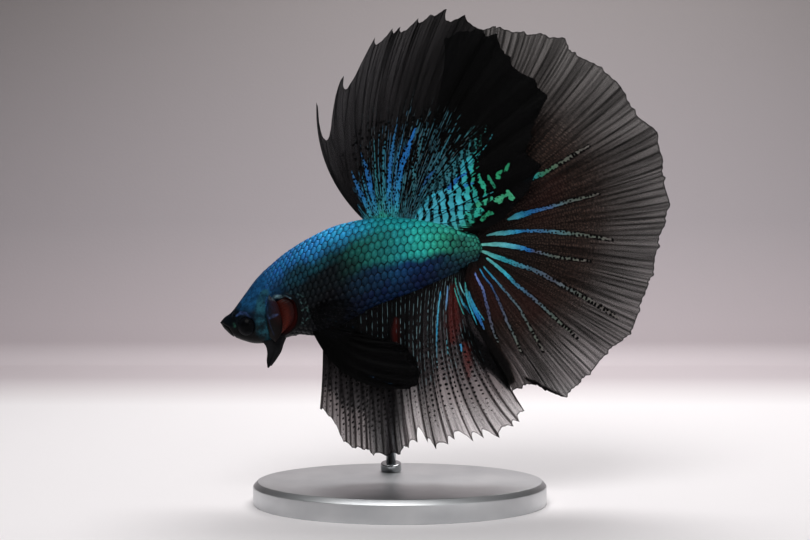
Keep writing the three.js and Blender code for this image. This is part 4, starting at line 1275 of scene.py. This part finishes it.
# The dorsal fin stands on the back. Its front is black with blue streaks, and its back is barred cyan.
dorsal = {
    "tips": [
        (-13.15, 63.0), (-8.8, 67.1), (-3.9, 73.0), (-1.1, 74.5), (0.1, 74.8), (2.9, 76.1), (5.0, 76.9),
        (7.4, 77.6), (10.2, 76.4), (13.2, 74.0), (15.3, 73.4), (17.3, 69.6), (21.2, 66.1), (23.0, 63.2),
        (20.5, 56.7), (22.1, 52.6), (19.9, 48.6), (16.3, 44.6),
    ],
    "root": root_line(10.3, 13.4, 0.0),
    "spread": [0, 0.12, 0.24, 0.36, 0.46, 0.54, 0.6, 0.74, 1],
    "bow": [2.4, 2.6, 2.2, 1.6, 1.3, 1.3, 0.5, -1.3],
    "sway": [0.2, -0.5, 0.3, -0.9, -1.5, -2.2, -2.0],
    "notch": [7.0, 3.5, 1.8, 0.9, 1.2, 0.9, 0.6, 1.9, 0.5, 0.8, 0.6, 0.7, 0.6, 0.8, 1.2, 0.9, 0.6],
    "thorn": [
        (0, 0), (0.1, 0.12), (0.17, 0.62), (0.26, 0.86), (0.42, 1), (0.56, 1), (0.66, 0.88), (0.74, 0.57),
        (0.81, 0.25), (0.9, 0.04), (1, 0),
    ],
    "lean": 0.9, "early": 1, "rays": 17, "first": 0.5, "forks": [(0.3, 0.65), (0.62, 0.95)],
    "whole_from": 2.0, "ray_width": 0.15, "faint": 0.2, "firm": 0.9, "margin": 1.0, "weave": 0.2, "fold": 0.4,
    "gloss": 0.04, "hem": 0.5, "thread": 0.3, "bead_rows": 2.0, "bead_step": 0.95, "bead_stray": 0.9,
    "glint_lines": 2.0, "across": 55.0, "columns": 340, "rows": 92, "scallop": 0.1, "worn": 0.15, "root_thick": 0.5,
    "ripple": 0.12, "folds": 5.0,
    "tones": {
        "pale": "#1d1e20", "web": "#0b0b0d", "dark": "#030303", "ray": "#020202", "red": "#2e0e0c",
        "ray_glint": "#59676c", "drab": "#36525e",
    },
    "streaks": [
        (
            [(1.65, 0.04), (1.6, 0.1), (1.45, 0.18), (1.35, 0.3), (1.3, 0.38)],
            [0.28, 0.32, 0.32, 0.24, 0.08], [0.48, 0.7, 0.74], [1], [0.75, 0.8, 0.6],
        ),
        (
            [(2.75, 0.04), (2.7, 0.09), (2.6, 0.2), (2.4, 0.31), (2.1, 0.38)], [0.28, 0.3, 0.38, 0.26, 0.08],
            [0.48, 0.72, 0.76], [1], [0.8, 0.85, 0.65],
        ),
        ([(2.2, 0.05), (2.0, 0.15), (1.9, 0.25)], [0.14, 0.14, 0.08], [0.6], [0.9], [0.7]),
        ([(3.7, 0.05), (3.8, 0.2), (3.7, 0.42)], [0.14, 0.1, 0.07], [0.45], [0.95, 0.8], [0.65]),
        ([(4.5, 0.05), (4.6, 0.2), (4.8, 0.4)], [0.16, 0.12, 0.08], [0.5], [0.95, 0.8], [0.65]),
        (
            [(5.2, 0.04), (5.25, 0.08), (5.45, 0.21), (5.6, 0.34), (5.8, 0.46)],
            [0.24, 0.26, 0.28, 0.26, 0.08], [0.46, 0.7, 0.68], [1], [0.8, 0.85, 0.65],
        ),
        ([(6.1, 0.08), (6.3, 0.25), (6.6, 0.38)], [0.14, 0.16, 0.08], [0.66], [0.95], [0.7]),
        (
            [(6.75, 0.04), (6.8, 0.09), (6.95, 0.25), (7.35, 0.34), (7.65, 0.46)],
            [0.26, 0.28, 0.34, 0.4, 0.08], [0.46, 0.72, 0.76], [1], [0.8, 0.88, 0.9],
        ),
        ([(9.8, 0.115), (8.75, 0.225), (8.25, 0.27)], [0.2, 0.3, 0.1], [0.45], [1], [0.5]),
        ([(8.75, 0.295), (8.45, 0.345), (8.45, 0.42)], [0.1, 0.25, 0.12], [0.45], [0.95], [0.45]),
        (
            [(10.75, 0.14), (11.3, 0.255), (10.95, 0.41), (10.8, 0.57)], [0.12, 0.2, 0.16, 0.06], [0.6, 0.45],
            [1, 0.9], [0.6, 0.45],
        ),
        ([(10.8, 0.2), (10.9, 0.245), (11.25, 0.305)], [0.12, 0.25, 0.12], [0.75], [1], [0.7]),
        ([(11.85, 0.195), (12.65, 0.295), (12.1, 0.475)], [0.5, 0.75, 0.3], [0.48, 0.45], [0.95], [0.5, 0.6]),
        ([(12.7, 0.55), (12.2, 0.6)], [0.2, 0.16], [0.3], [1], [0.6]),
        ([(12.6, 0.52), (12.15, 0.565)], [0.2, 0.16], [0.35], [1], [0.6]),
        ([(12.65, 0.475), (11.95, 0.535)], [0.2, 0.18], [0.4], [1], [0.55]),
        ([(12.25, 0.63), (12.05, 0.65)], [0.1, 0.08], [0.3], [1], [0.5]),
        ([(13.5, 0.305), (13.45, 0.4), (13.65, 0.495)], [0.24, 0.22, 0.08], [0.76], [1], [1.0]),
        ([(14.15, 0.45), (14.3, 0.525)], [0.2, 0.1], [0.68], [1], [1.0]),
        ([(14.15, 0.58), (14.5, 0.57), (15.05, 0.535)], [0.35, 0.45, 0.3], [0.26], [1], [1.0]),
        ([(14.4, 0.65), (14.6, 0.63), (15.0, 0.605)], [0.2, 0.24, 0.16], [0.2], [1], [0.85]),
        ([(14.65, 0.69), (14.5, 0.72), (14.45, 0.755)], [0.32, 0.28, 0.16], [0.16], [1], [0.9]),
        ([(14.55, 0.775), (14.45, 0.805), (14.35, 0.84)], [0.22, 0.24, 0.14], [0.15], [1], [0.85]),
        ([(15.5, 0.47), (15.5, 0.535), (15.4, 0.605)], [0.3, 0.4, 0.2], [0.22], [1], [1.05]),
        ([(15.7, 0.67), (15.55, 0.71), (15.65, 0.8)], [0.5, 0.26, 0.2], [0.16], [1], [1.1]),
        ([(15.45, 0.76), (15.9, 0.815)], [0.3, 0.36], [0.16], [1], [1.1]),
        ([(16.35, 0.545), (16.15, 0.595), (16.25, 0.675)], [0.3, 0.34, 0.16], [0.18], [1], [0.9]),
        ([(16.0, 0.375), (15.85, 0.49)], [0.6, 0.5], [0.32], [1], [1.0]),
        (
            [(10.8, 0.03), (12.95, 0.165), (13.2, 0.325), (13.25, 0.46), (13.15, 0.545), (12.7, 0.645)],
            [0.055], [0.5], [1], [0.62],
        ),
        ([(14.6, 0.115), (15.0, 0.25), (15.15, 0.425), (15.15, 0.61)], [0.055], [0.52], [1], [0.66]),
        ([(13.35, 0.085), (15.15, 0.24), (15.7, 0.415)], [0.055], [0.52], [1], [0.66]),
    ],
    "fields": {
        "veil": [
            (0.0, [0.999]),
            (0.5, [0.985, 0.98, 0.98, 0.985, 0.99, 0.997, 0.999, 0.999, 0.999, 0.999, 0.999]),
            (0.85, [0.96, 0.95, 0.95, 0.96, 0.97, 0.99, 0.998, 0.998, 0.998, 0.997, 0.995]),
            (1.0, [0.95, 0.93, 0.93, 0.94, 0.96, 0.98, 0.99, 0.99, 0.99, 0.98, 0.97]),
        ],
        "dusk": [
            (0.0, [1.0]),
            (0.35, [0.7, 0.6, 0.7, 0.9, 1, 1, 1, 1, 1, 1, 1]),
            (0.6, [0.4, 0.3, 0.4, 0.6, 0.8, 0.95, 1, 1, 1, 1, 1]),
            (1.0, [0.2, 0.1, 0.15, 0.3, 0.6, 0.9, 0.95, 0.9, 0.9, 0.85, 0.75]),
        ],
        "bloom": [
            (0.0, [0.6, 0.7, 0.8, 0.8, 0.8, 0.8, 0.8, 0.7, 0.6, 0.6, 0.6, 0.6, 0.7, 1, 1, 1, 1, 1]),
            (0.07, [0.4, 0.5, 0.55, 0.6, 0.6, 0.6, 0.6, 0.5, 0.45, 0.45, 0.45, 0.45, 0.6, 1, 1, 1, 1, 1]),
            (
                0.18,
                [0.1, 0.35, 0.45, 0.45, 0.45, 0.5, 0.5, 0.45, 0.42, 0.45, 0.48, 0.5, 0.55, 1, 1, 1, 1, 0.8],
            ),
            (0.3, [0, 0.2, 0.35, 0.38, 0.4, 0.45, 0.45, 0.42, 0.42, 0.42, 0.45, 0.48, 0.55, 1, 1, 1, 1, 0.3]),
            (0.42, [0, 0, 0.15, 0.25, 0.32, 0.38, 0.38, 0.4, 0.4, 0.4, 0.42, 0.45, 0.5, 1, 1, 1, 0.8, 0]),
            (0.49, [0, 0, 0, 0, 0.2, 0.25, 0.3, 0.32, 0.36, 0.36, 0.38, 0.4, 0.42, 0.6, 0.8, 0.5, 0.3, 0]),
            (0.55, [0, 0, 0, 0, 0, 0, 0.1, 0.15, 0.25, 0.28, 0.3, 0.32, 0.35, 0.3, 0.3, 0.2, 0, 0]),
            (0.64, [0, 0, 0, 0, 0, 0, 0, 0, 0, 0, 0.15, 0.2, 0.2, 0.1, 0, 0, 0, 0]),
            (0.78, [0]),
            (1.0, [0]),
        ],
        "glow": [
            (
                0.0,
                [
                    0.7, 0.75, 0.8, 0.85, 0.85, 0.85, 0.8, 0.75, 0.6, 0.55, 0.55, 0.55, 0.7, 1.1, 1.1, 1.1,
                    1.1, 1.1,
                ],
            ),
            (
                0.2,
                [
                    0.55, 0.6, 0.6, 0.6, 0.6, 0.65, 0.6, 0.55, 0.45, 0.42, 0.42, 0.5, 0.6, 1.1, 1.1, 1.1, 1.1,
                    1.1,
                ],
            ),
            (0.45, [0.45, 0.5, 0.5, 0.5, 0.5, 0.5, 0.5, 0.45, 0.4, 0.4, 0.4, 0.45, 0.5, 1, 1, 1, 1, 1]),
            (1.0, [0.4, 0.4, 0.4, 0.7]),
        ],
        "hue": [
            (
                0.0,
                [
                    0.5, 0.4, 0.34, 0.3, 0.3, 0.33, 0.38, 0.42, 0.45, 0.45, 0.48, 0.48, 0.48, 0.5, 0.5, 0.48,
                    0.48, 0.45,
                ],
            ),
            (
                0.12,
                [
                    0.6, 0.55, 0.45, 0.4, 0.42, 0.48, 0.52, 0.5, 0.5, 0.5, 0.55, 0.52, 0.5, 0.52, 0.52, 0.5,
                    0.48, 0.4,
                ],
            ),
            (
                0.3,
                [
                    0.66, 0.66, 0.6, 0.52, 0.52, 0.6, 0.6, 0.56, 0.5, 0.5, 0.52, 0.5, 0.48, 0.52, 0.5, 0.48,
                    0.42, 0.3,
                ],
            ),
            (
                0.45,
                [
                    0.7, 0.7, 0.66, 0.58, 0.58, 0.66, 0.66, 0.58, 0.5, 0.5, 0.5, 0.48, 0.42, 0.46, 0.4, 0.36,
                    0.26, 0.2,
                ],
            ),
            (
                0.6,
                [
                    0.7, 0.7, 0.7, 0.6, 0.6, 0.7, 0.7, 0.6, 0.5, 0.45, 0.4, 0.35, 0.3, 0.25, 0.2, 0.16, 0.14,
                    0.14,
                ],
            ),
            (1.0, [0.7, 0.14]),
        ],
        "bars": [
            (0.0, [0, 0, 0, 0, 0, 0, 0, 0, 0, 0, 0, 0.2, 0.8, 1, 1, 1, 1, 1]),
            (0.6, [0, 0, 0, 0, 0, 0, 0, 0, 0, 0, 0, 0.2, 0.8, 1, 1, 1, 0.8, 0.3]),
            (0.66, [0]),
            (1.0, [0]),
        ],
        "beads": [
            (0.0, [0.5, 0.6, 0.8, 0.9, 0.9, 0.9, 0.9, 0.9, 1, 1, 1, 1, 0.9, 0.3, 0.2, 0.2, 0.2, 0.2]),
            (0.5, [0.3, 0.5, 0.8, 0.9, 0.9, 0.8, 0.6, 0.9, 1, 1, 1, 1, 1, 0.4, 0.2, 0.2, 0.3, 0.3]),
            (0.6, [0]),
            (1.0, [0]),
        ],
        "ray_glint": [
            (0.0, [0, 0, 0.2, 0.3, 0.3, 0.3, 0.3, 0.4, 0.6, 0.6, 0.6, 0.6, 0.7, 0.4, 0.3, 0.3, 0.2, 0]),
            (0.45, [0, 0, 0.3, 0.6, 0.6, 0.5, 0.5, 0.6, 0.6, 0.6, 0.7, 0.7, 0.9, 0.5, 0.3, 0.3, 0.2, 0]),
            (0.65, [0]),
            (1.0, [0]),
        ],
    },
}
dorsal["material"] = fin_finish("dorsal web", dorsal)
make_fin("dorsal_web", dorsal, ["dorsal_fin"])


# The tail fin opens round the stalk into more than a half circle, brown-black with shining streaks.
def tail_root(share):
    forward = smooth(0.9, 1.0, share)
    x, _, z = np.moveaxis(body(16.2 - 1.6 * forward, math.pi * share, -0.2), -1, 0)
    return x - ROOT_DEPTH, -0.45 * forward, z


tail = {
    "tips": [
        (7.0, 73.5), (9.6, 74.6), (12.4, 74.9), (14.9, 75.3), (16.1, 75.1), (19.7, 74.4), (22.6, 74.3),
        (26.5, 73.5), (27.9, 71.1), (31.5, 69.1), (35.1, 65.6), (37.3, 61.7), (40.8, 58.4), (41.9, 53.7),
        (42.2, 51.0), (43.0, 47.0), (42.2, 43.4), (41.1, 40.0), (40.2, 35.9), (39.1, 33.5), (37.8, 29.7),
        (36.6, 26.5), (34.8, 24.9), (32.7, 23.0), (30.1, 20.0), (28.1, 18.2), (26.0, 16.4), (22.8, 17.6),
        (20.7, 18.5), (18.8, 17.9), (17.6, 17.5),
    ],
    "root": tail_root,
    "spread": [0.06, 0.08, 0.11, 0.16, 0.31, 0.53, 0.74, 0.9, 0.96],
    "bow": [6.0, 3.4, 2.2, 1.5, 1.0, 0.6, -0.1, -1.0, -2.4],
    "sway": [2.2, 1.6, 2.4, 1.2, 2.0, 0.9, 1.4, 0.2, -1.1],
    "notch": [
        0.3, 0.3, 0.3, 0.2, 0.3, 0.4, 0.4, 0.6, 0.1, 0, 0.1, 0.3, 0.4, 0.3, 0.3,
        0.3, 0.4, 0.3, 0.2, 0.1, 0.0, 0.1, 0.2, 0.1, 0.3, 0.3, 0.2, 0.2, 0.2, 0.2,
    ],
    "lean": 0.6, "early": 2, "rays": 13, "first": 0.1, "forks": [(0.03, 0.2), (0.2, 0.45), (0.42, 0.78)],
    "whole_from": 2.0, "ray_width": 0.3, "faint": 0.5, "firm": 0.95, "margin": 0.6, "weave": 0.9,
    "fold": 0.25, "gloss": 0.06, "hem": 0.85, "thread": 0.45, "bead_rows": 3.0, "bead_step": 0.6,
    "bead_stray": 0.5, "glint_lines": 4.0, "across": 75.0, "columns": 430, "rows": 104, "scallop": 0.04,
    "worn": 0.22, "root_thick": 0.35, "ripple": 0.1, "folds": 9.0,
    "tones": {
        "pale": "#545250", "web": "#251b17", "dark": "#060505", "ray": "#050404", "red": "#2c1310",
        "ray_glint": "#6b625c", "drab": "#625e5b",
    },
    "streaks": [
        (
            [(10.6, 0.36), (10.8, 0.41), (11.0, 0.47), (11.05, 0.555), (11.1, 0.72)],
            [0.14, 0.36, 0.34, 0.36, 0.3], [0.5, 0.42, 0.2, 0.1, 0], [1, 0.95, 0.85, 0.75, 0.6],
            [1.1, 0.9, 0.7, 0.45, 0.35],
        ),
        (
            [(12.9, 0.19), (13.15, 0.24), (13.45, 0.325), (13.7, 0.41), (13.7, 0.5), (13.75, 0.66)],
            [0.16, 0.46, 0.3, 0.3, 0.36, 0.3], [0.45, 0.55, 0.72, 0.72, 0.4, 0],
            [1, 1, 0.95, 0.85, 0.75, 0.6], [1.3, 1.1, 0.85, 0.65, 0.42, 0.35],
        ),
        (
            [
                (14.2, 0.07), (14.8, 0.12), (15.2, 0.16), (15.55, 0.26), (15.85, 0.355), (16.15, 0.47),
                (16.3, 0.545), (16.65, 0.74),
            ],
            [0.1, 0.28, 0.34, 0.22, 0.26, 0.36, 0.38, 0.3], [0.44, 0.44, 0.5, 0.68, 0.66, 0.45, 0.3, 0],
            [1, 1, 1, 0.95, 0.85, 0.8, 0.75, 0.6], [1.5, 1.4, 1.2, 0.85, 0.7, 0.55, 0.42, 0.35],
        ),
        (
            [
                (17.0, 0.04), (17.35, 0.14), (17.6, 0.215), (17.85, 0.295), (17.95, 0.335), (18.15, 0.44),
                (17.95, 0.64),
            ],
            [0.2, 0.34, 0.38, 0.26, 0.28, 0.34, 0.28], [0.35, 0.45, 0.55, 0.75, 0.8, 0.3, 0],
            [1, 1, 1, 0.95, 0.8, 0.75, 0.6], [1.5, 1.4, 1.2, 0.95, 0.5, 0.4, 0.35],
        ),
        (
            [
                (19.5, 0.045), (19.95, 0.115), (20.0, 0.235), (19.95, 0.355), (20.15, 0.48), (20.25, 0.555),
                (20.4, 0.74), (20.6, 0.9),
            ],
            [0.2, 0.34, 0.34, 0.34, 0.36, 0.38, 0.36, 0.3], [0.35, 0.42, 0.5, 0.6, 0.7, 0.5, 0, 0],
            [1, 1, 0.95, 0.88, 0.82, 0.78, 0.72, 0.6], [1.5, 1.15, 0.8, 0.55, 0.45, 0.4, 0.36, 0.35],
        ),
        (
            [(21.2, 0.075), (21.95, 0.175), (22.65, 0.295), (22.8, 0.445), (23.05, 0.61), (23.2, 0.8)],
            [0.16, 0.26, 0.28, 0.3, 0.32, 0.26], [0.4, 0.45, 0.58, 0.68, 0.3, 0],
            [1, 1, 0.92, 0.84, 0.76, 0.6], [1.4, 1.1, 0.75, 0.5, 0.42, 0.35],
        ),
        (
            [(24.15, 0.085), (24.05, 0.185), (24.1, 0.295), (24.2, 0.405), (24.85, 0.55), (25.3, 0.71)],
            [0.1, 0.14, 0.17, 0.22, 0.26, 0.24], [0.55, 0.6, 0.6, 0.55, 0.3, 0],
            [1, 1, 0.92, 0.82, 0.74, 0.6], [1.1, 0.8, 0.56, 0.46, 0.4, 0.35],
        ),
        (
            [(26.1, 0.08), (25.4, 0.195), (25.75, 0.3), (26.3, 0.435), (26.65, 0.595), (27.0, 0.72)],
            [0.1, 0.14, 0.19, 0.24, 0.26, 0.24], [0.6, 0.75, 0.8, 0.7, 0.3, 0], [1, 1, 0.92, 0.82, 0.74, 0.6],
            [0.95, 0.75, 0.56, 0.46, 0.4, 0.35],
        ),
        (
            [(27.5, 0.09), (26.95, 0.205), (27.5, 0.355), (28.2, 0.5), (28.55, 0.62)],
            [0.12, 0.2, 0.22, 0.26, 0.24], [1, 1, 0.9, 0.8, 0.4], [1, 1, 0.9, 0.82, 0.66],
            [0.9, 0.8, 0.58, 0.46, 0.4],
        ),
        (
            [(29.95, 0.13), (29.65, 0.185), (29.2, 0.26), (29.0, 0.35), (28.9, 0.42), (29.05, 0.5)],
            [0.12, 0.18, 0.22, 0.3, 0.26, 0.08], [0.38, 0.42, 0.6, 0.74, 0.74], [1],
            [0.8, 0.75, 0.8, 0.95, 0.9, 0.7],
        ),
        (
            [(29.75, 0.2), (29.6, 0.28), (29.5, 0.37), (29.6, 0.45)], [0.08, 0.1, 0.1, 0.06], [0.5], [1],
            [0.95],
        ),
        ([(29.1, 0.2), (28.75, 0.33), (28.5, 0.44)], [0.08, 0.12, 0.06], [0.6], [1], [0.9]),
    ],
    "black": [
        ([(29.9, 0.15), (29.3, 0.3), (29.3, 0.42)], [0.8, 1.0, 1.0]),
        ([(29.6, 0.42), (29.5, 0.595), (29.5, 0.7), (29.45, 0.8), (29.5, 0.93)], [0.7, 0.95, 1.1, 1.15, 0.6]),
        ([(28.2, 0.95), (27.65, 0.985), (26.6, 1.0), (26.1, 1.0)], [0.25, 0.45, 0.45, 0.25]),
    ],
    "patches": [
        ([(27.2, 0.15), (26.5, 0.35)], [1.5, 1.8], 0.55), ([(24.5, 0.25), (23.5, 0.45)], [1.6, 2.5], 0.4),
        ([(12.0, 0.45), (13.5, 0.35)], [2.0, 2.5], 0.3),
    ],
    "fields": {
        "veil": [
            (0.0, [0.999]),
            (0.5, [0.998, 0.998, 0.998, 0.998, 0.998, 0.997, 0.996, 0.996, 0.999]),
            (0.66, [0.975, 0.97, 0.99, 0.99, 0.99, 0.99, 0.985, 0.97, 0.99]),
            (0.8, [0.93, 0.93, 0.945, 0.955, 0.955, 0.94, 0.91, 0.9, 0.97]),
            (1.0, [0.88, 0.87, 0.88, 0.88, 0.88, 0.86, 0.81, 0.79, 0.93]),
        ],
        "dusk": [
            (0.0, [0.95]),
            (0.15, [0.9, 0.9, 0.85, 0.8, 0.75, 0.75, 0.75, 0.75, 0.95]),
            (0.5, [0.7, 0.65, 0.58, 0.55, 0.55, 0.55, 0.55, 0.55, 0.95]),
            (0.66, [0.5, 0.4, 0.42, 0.45, 0.45, 0.45, 0.42, 0.42, 0.9]),
            (0.8, [0.3, 0.2, 0.22, 0.25, 0.25, 0.22, 0.2, 0.2, 0.8]),
            (1.0, [0.15, 0.05, 0.05, 0.05, 0.05, 0.0, 0.0, 0.0, 0.6]),
        ],
    },
}
tail["material"] = fin_finish("tail web", tail)
make_fin("tail_web", tail, ["tail_fin"])


# The anal fin hangs from the belly: a black front lobe, then a paler web with sharp ray tips.
def anal_root(share):
    x, _, z = root_line(7.6, 14.5, math.pi)(share)
    return x, 0.4 * smooth(0.8, 1, share), z


anal = {
    "tips": [
        (-12.6, 14.5), (-11.1, 13.4), (-8.8, 9.6), (-7.3, 8.5), (-5.5, 8.2), (-4.1, 7.4), (-1.9, 7.2),
        (0.1, 7.5), (1.4, 8.7), (2.8, 9.4), (4.4, 9.3), (5.7, 8.4), (7.6, 9.1), (8.6, 9.9), (11.5, 9.7),
        (13.2, 10.1), (15.7, 10.1), (17.9, 11.9), (18.9, 12.5), (19.7, 14.2), (18.4, 15.5), (17.6, 17.5),
    ],
    "root": anal_root,
    "spread": [0, 0.3, 0.62, 0.86, 1],
    "bow": [0.2, 0.2, -0.3, -0.8, -1.5, -2.4, -2.4, 0.8],
    "sway": [-0.2, -0.9, -0.5, -0.7, 0.1, -0.5, -0.1, 0.6, 0.7],
    "notch": [
        0.3, 0.5, 0.4, 0.3, 0.4, 0.5, 0.5, 0.7, 0.7, 2.2, 0.9, 0.7, 0.9, 1.3, 1.2, 1.4, 0.9, 0.6, 0.7, 0.9,
        0.7,
    ],
    "lean": 1.3, "early": 1, "rays": 21, "first": 0.5, "forks": [(0.4, 0.85)], "whole_from": 0.4,
    "ray_width": 0.3, "faint": 0.85, "firm": 1.0, "margin": 1.0, "weave": 0.3, "fold": 0.3, "gloss": 0.06,
    "hem": 0.75, "thread": 0.25, "bead_rows": 2.0, "bead_step": 0.85, "bead_stray": 0.25, "glint_lines": 2.0,
    "across": 40.0, "columns": 336, "rows": 92, "scallop": 0.1, "worn": 0.15, "root_thick": 0.45,
    "ripple": 0.12, "folds": 6.0,
    "tones": {
        "pale": "#9a8c8c", "web": "#2e2a2c", "dark": "#050506", "ray": "#060505", "red": "#4a130e",
        "ray_glint": "#68868c", "drab": "#6f8484",
    },
    "streaks": [
        (
            [(13.6, 0.1), (13.5, 0.165), (13.4, 0.295), (13.25, 0.45), (13.1, 0.58)],
            [0.08, 0.12, 0.13, 0.12, 0.08], [0.6], [0.9, 1, 1, 0.9, 0.75], [0.9, 1.3, 1.1, 0.65, 0.5],
        ),
        ([(14.9, 0.08), (14.9, 0.16), (14.7, 0.22)], [0.08, 0.14, 0.08], [0.9], [0.95], [1.3]),
        (
            [(16.4, 0.05), (16.6, 0.085), (17.3, 0.16), (18.3, 0.255), (19.0, 0.36)],
            [0.08, 0.1, 0.14, 0.18, 0.1], [0.3, 0.35, 0.45, 0.6, 0.72], [1], [0.75, 0.75, 0.8, 0.9, 0.8],
        ),
        ([(17.5, 0.09), (18.5, 0.19), (19.6, 0.31)], [0.08, 0.09, 0.07], [0.5], [1], [1.6]),
        ([(16.3, 0.11), (16.9, 0.18), (17.7, 0.28)], [0.08, 0.1, 0.07], [0.36], [0.95], [1.1]),
        ([(16.3, 0.44), (16.25, 0.48)], [0.2, 0.14], [0.65], [0.95], [1.1]),
        ([(14.6, 0.4), (14.5, 0.5)], [0.1, 0.08], [0.5], [0.85], [0.7]),
    ],
    "patches": [
        ([(16.2, 0.1), (16.1, 0.195), (15.8, 0.31), (15.35, 0.42)], [0.5, 0.85, 1.0, 0.5], 0.85),
        ([(16.8, 0.46), (16.5, 0.55), (16.15, 0.63)], [0.5, 0.6, 0.35], 0.9),
        ([(7.8, 0.17), (7.65, 0.25), (7.75, 0.33)], [0.35, 0.5, 0.4], 0.45),
    ],
    "black": [
        ([(17.2, 0.375), (18.05, 0.485), (18.6, 0.61), (19.2, 0.72), (20.45, 0.91)], [1.0, 1.4, 1.6, 1.5, 1.0])
    ],
    "fields": {
        "veil": [
            (0.0, [0.999]),
            (0.4, [0.995, 0.995, 0.995, 0.999, 0.999, 0.995, 0.99, 0.985, 0.985, 0.99, 0.999]),
            (0.58, [0.99, 0.99, 0.99, 0.998, 0.98, 0.98, 0.97, 0.965, 0.97, 0.98, 0.995]),
            (0.78, [0.96, 0.95, 0.95, 0.985, 0.92, 0.91, 0.89, 0.88, 0.89, 0.92, 0.97]),
            (1.0, [0.9, 0.86, 0.86, 0.93, 0.7, 0.68, 0.62, 0.6, 0.6, 0.66, 0.8]),
        ],
        "dusk": [
            (0.0, [1.0]),
            (0.35, [0.9, 0.9, 0.95, 1, 1, 0.85, 0.6, 0.55, 0.6, 0.7, 1]),
            (0.55, [0.75, 0.75, 0.85, 0.95, 0.75, 0.65, 0.5, 0.45, 0.5, 0.65, 0.9]),
            (0.75, [0.36, 0.32, 0.42, 0.8, 0.38, 0.32, 0.2, 0.16, 0.2, 0.28, 0.6]),
            (1.0, [0.25, 0.2, 0.22, 0.6, 0.08, 0.05, 0, 0, 0, 0.05, 0.3]),
        ],
        "beads": [
            (0.0, [0]),
            (0.3, [0, 0, 0.2, 0.2, 0.2, 0.3, 0.6, 0.6, 0.5, 0.2, 0]),
            (0.42, [0.6, 0.8, 0.9, 0.8, 0.8, 0.9, 1, 1, 0.9, 0.5, 0]),
            (0.68, [0.8, 1, 1, 0.9, 0.8, 0.9, 1, 1, 0.9, 0.6, 0]),
            (0.85, [0.6, 0.7, 0.7, 0.5, 0.4, 0.6, 0.6, 0.5, 0.5, 0.2, 0]),
            (1.0, [0]),
        ],
        "ray_glint": [
            (0.0, [0]),
            (0.06, [0, 0.1, 0.5, 0.6, 0.7, 0.7, 0.8, 0.8, 0.4, 0, 0]),
            (0.3, [0, 0.1, 0.9, 0.9, 0.9, 1, 1, 1, 0.6, 0, 0]),
            (0.5, [0, 0, 0.1, 0.1, 0.5, 0.9, 1, 1, 0.7, 0, 0]),
            (0.62, [0, 0, 0, 0, 0.2, 0.6, 0.6, 0.5, 0.3, 0, 0]),
            (0.7, [0]),
            (1.0, [0]),
        ],
    },
}
anal["material"] = fin_finish("anal web", anal)
make_fin("anal_web", anal, ["anal_fin"])

# The paired fins: black, narrow pelvic fins swept back from the throat, and small clear pectoral fins
# behind the gills.
PAIRED = {
    "spread": [0, 1], "lean": 1.3, "early": 1, "first": 0.5, "whole_from": 2.0, "faint": 0.3, "margin": 1.0,
    "weave": 0.2, "gloss": 0.04, "thread": 0.25, "bead_rows": 1.0, "bead_step": 1.0, "bead_stray": 0.5,
    "glint_lines": 1.0, "ripple": 0.1, "folds": 2.0,
}
pelvic = {
    **PAIRED,
    "tips": [(1.5, 18.1), (3.0, 18.9), (3.3, 20.6), (2.6, 22.9), (0.9, 24.8), (-2.2, 25.9), (-6.4, 26.9)],
    "root": lambda share: (-13.6 + 2.6 * share, -1.5 + 0 * share, 26.9 + 0.8 * share),
    "bow": [-3.1, -2.1, -1.3, -0.6, 0],
    "sway": [-1.0, -1.2, -1.1, -0.7],
    "notch": [0.2, 0.3, 0.3, 0.4, 0.4, 0.4],
    "rays": 6, "forks": [(0.35, 0.8)],
    "ray_width": 0.16, "firm": 0.9, "fold": 0.4, "hem": 0.5,
    "across": 8.0, "columns": 96, "rows": 60, "scallop": 0.1, "worn": 0.08, "root_thick": 0.35,
    "tones": {
        "pale": "#121214", "web": "#070708", "dark": "#030303", "ray": "#010101", "red": "#2a1010",
        "ray_glint": "#30363a", "drab": "#30363a",
    },
    "streaks": [([(1.0, 0.6), (0.8, 0.8)], [0.08, 0.06], [0.7], [0.6], [0.5])],
    "fields": {
        "veil": [(0.0, [0.999]), (0.8, [0.995, 0.995]), (1.0, [0.96, 0.97])],
        "dusk": [(0.0, [1.0]), (1.0, [0.6, 0.8])],
    },
}
pectoral = {
    **PAIRED,
    "tips": [(-7.6, 32.0), (-6.5, 31.0), (-6.0, 29.4), (-6.3, 27.7), (-7.6, 26.5), (-9.8, 26.0)],
    "root": lambda share: (-14.0 + 0.5 * share, -3.5 + 0 * share, 30.6 - 1.6 * share),
    "bow": [0.5, 0.3, -0.3, -0.7],
    "sway": [-2.0, -2.5, -2.2],
    "notch": [0.3, 0.3, 0.3, 0.3, 0.4],
    "rays": 10, "forks": [(0.4, 0.9)],
    "ray_width": 0.1, "firm": 0.7, "fold": 0.3, "hem": 0.1,
    "across": 7.0, "columns": 80, "rows": 40, "scallop": 0.05, "worn": 0.03, "root_thick": 0.25,
    "tones": {
        "pale": "#16181b", "web": "#0b0c0e", "dark": "#050506", "ray": "#040405", "red": "#2a1010",
        "ray_glint": "#30363a", "drab": "#30363a",
    },
    # Its one streak is a painted glint along a ray.
    "streaks": [([(2.8, 0.35), (3.0, 0.9)], [0.05, 0.04], [0.7], [0.55], [0.6])],
    "fields": {
        "veil": [(0.0, [0.9]), (0.4, [0.4, 0.4]), (1.0, [0.2, 0.2])],
        "dusk": [(0.0, [1.0]), (1.0, [0.6, 0.6])],
    },
}
for fin, name in ((pelvic, "pelvic"), (pectoral, "pectoral")):
    fin["material"] = fin_finish(name + " web", fin)
    for side, toward in (("left", 1), ("right", -1)):
        make_fin(name + "_web_" + side, fin, [name + "_fin_" + side], toward)
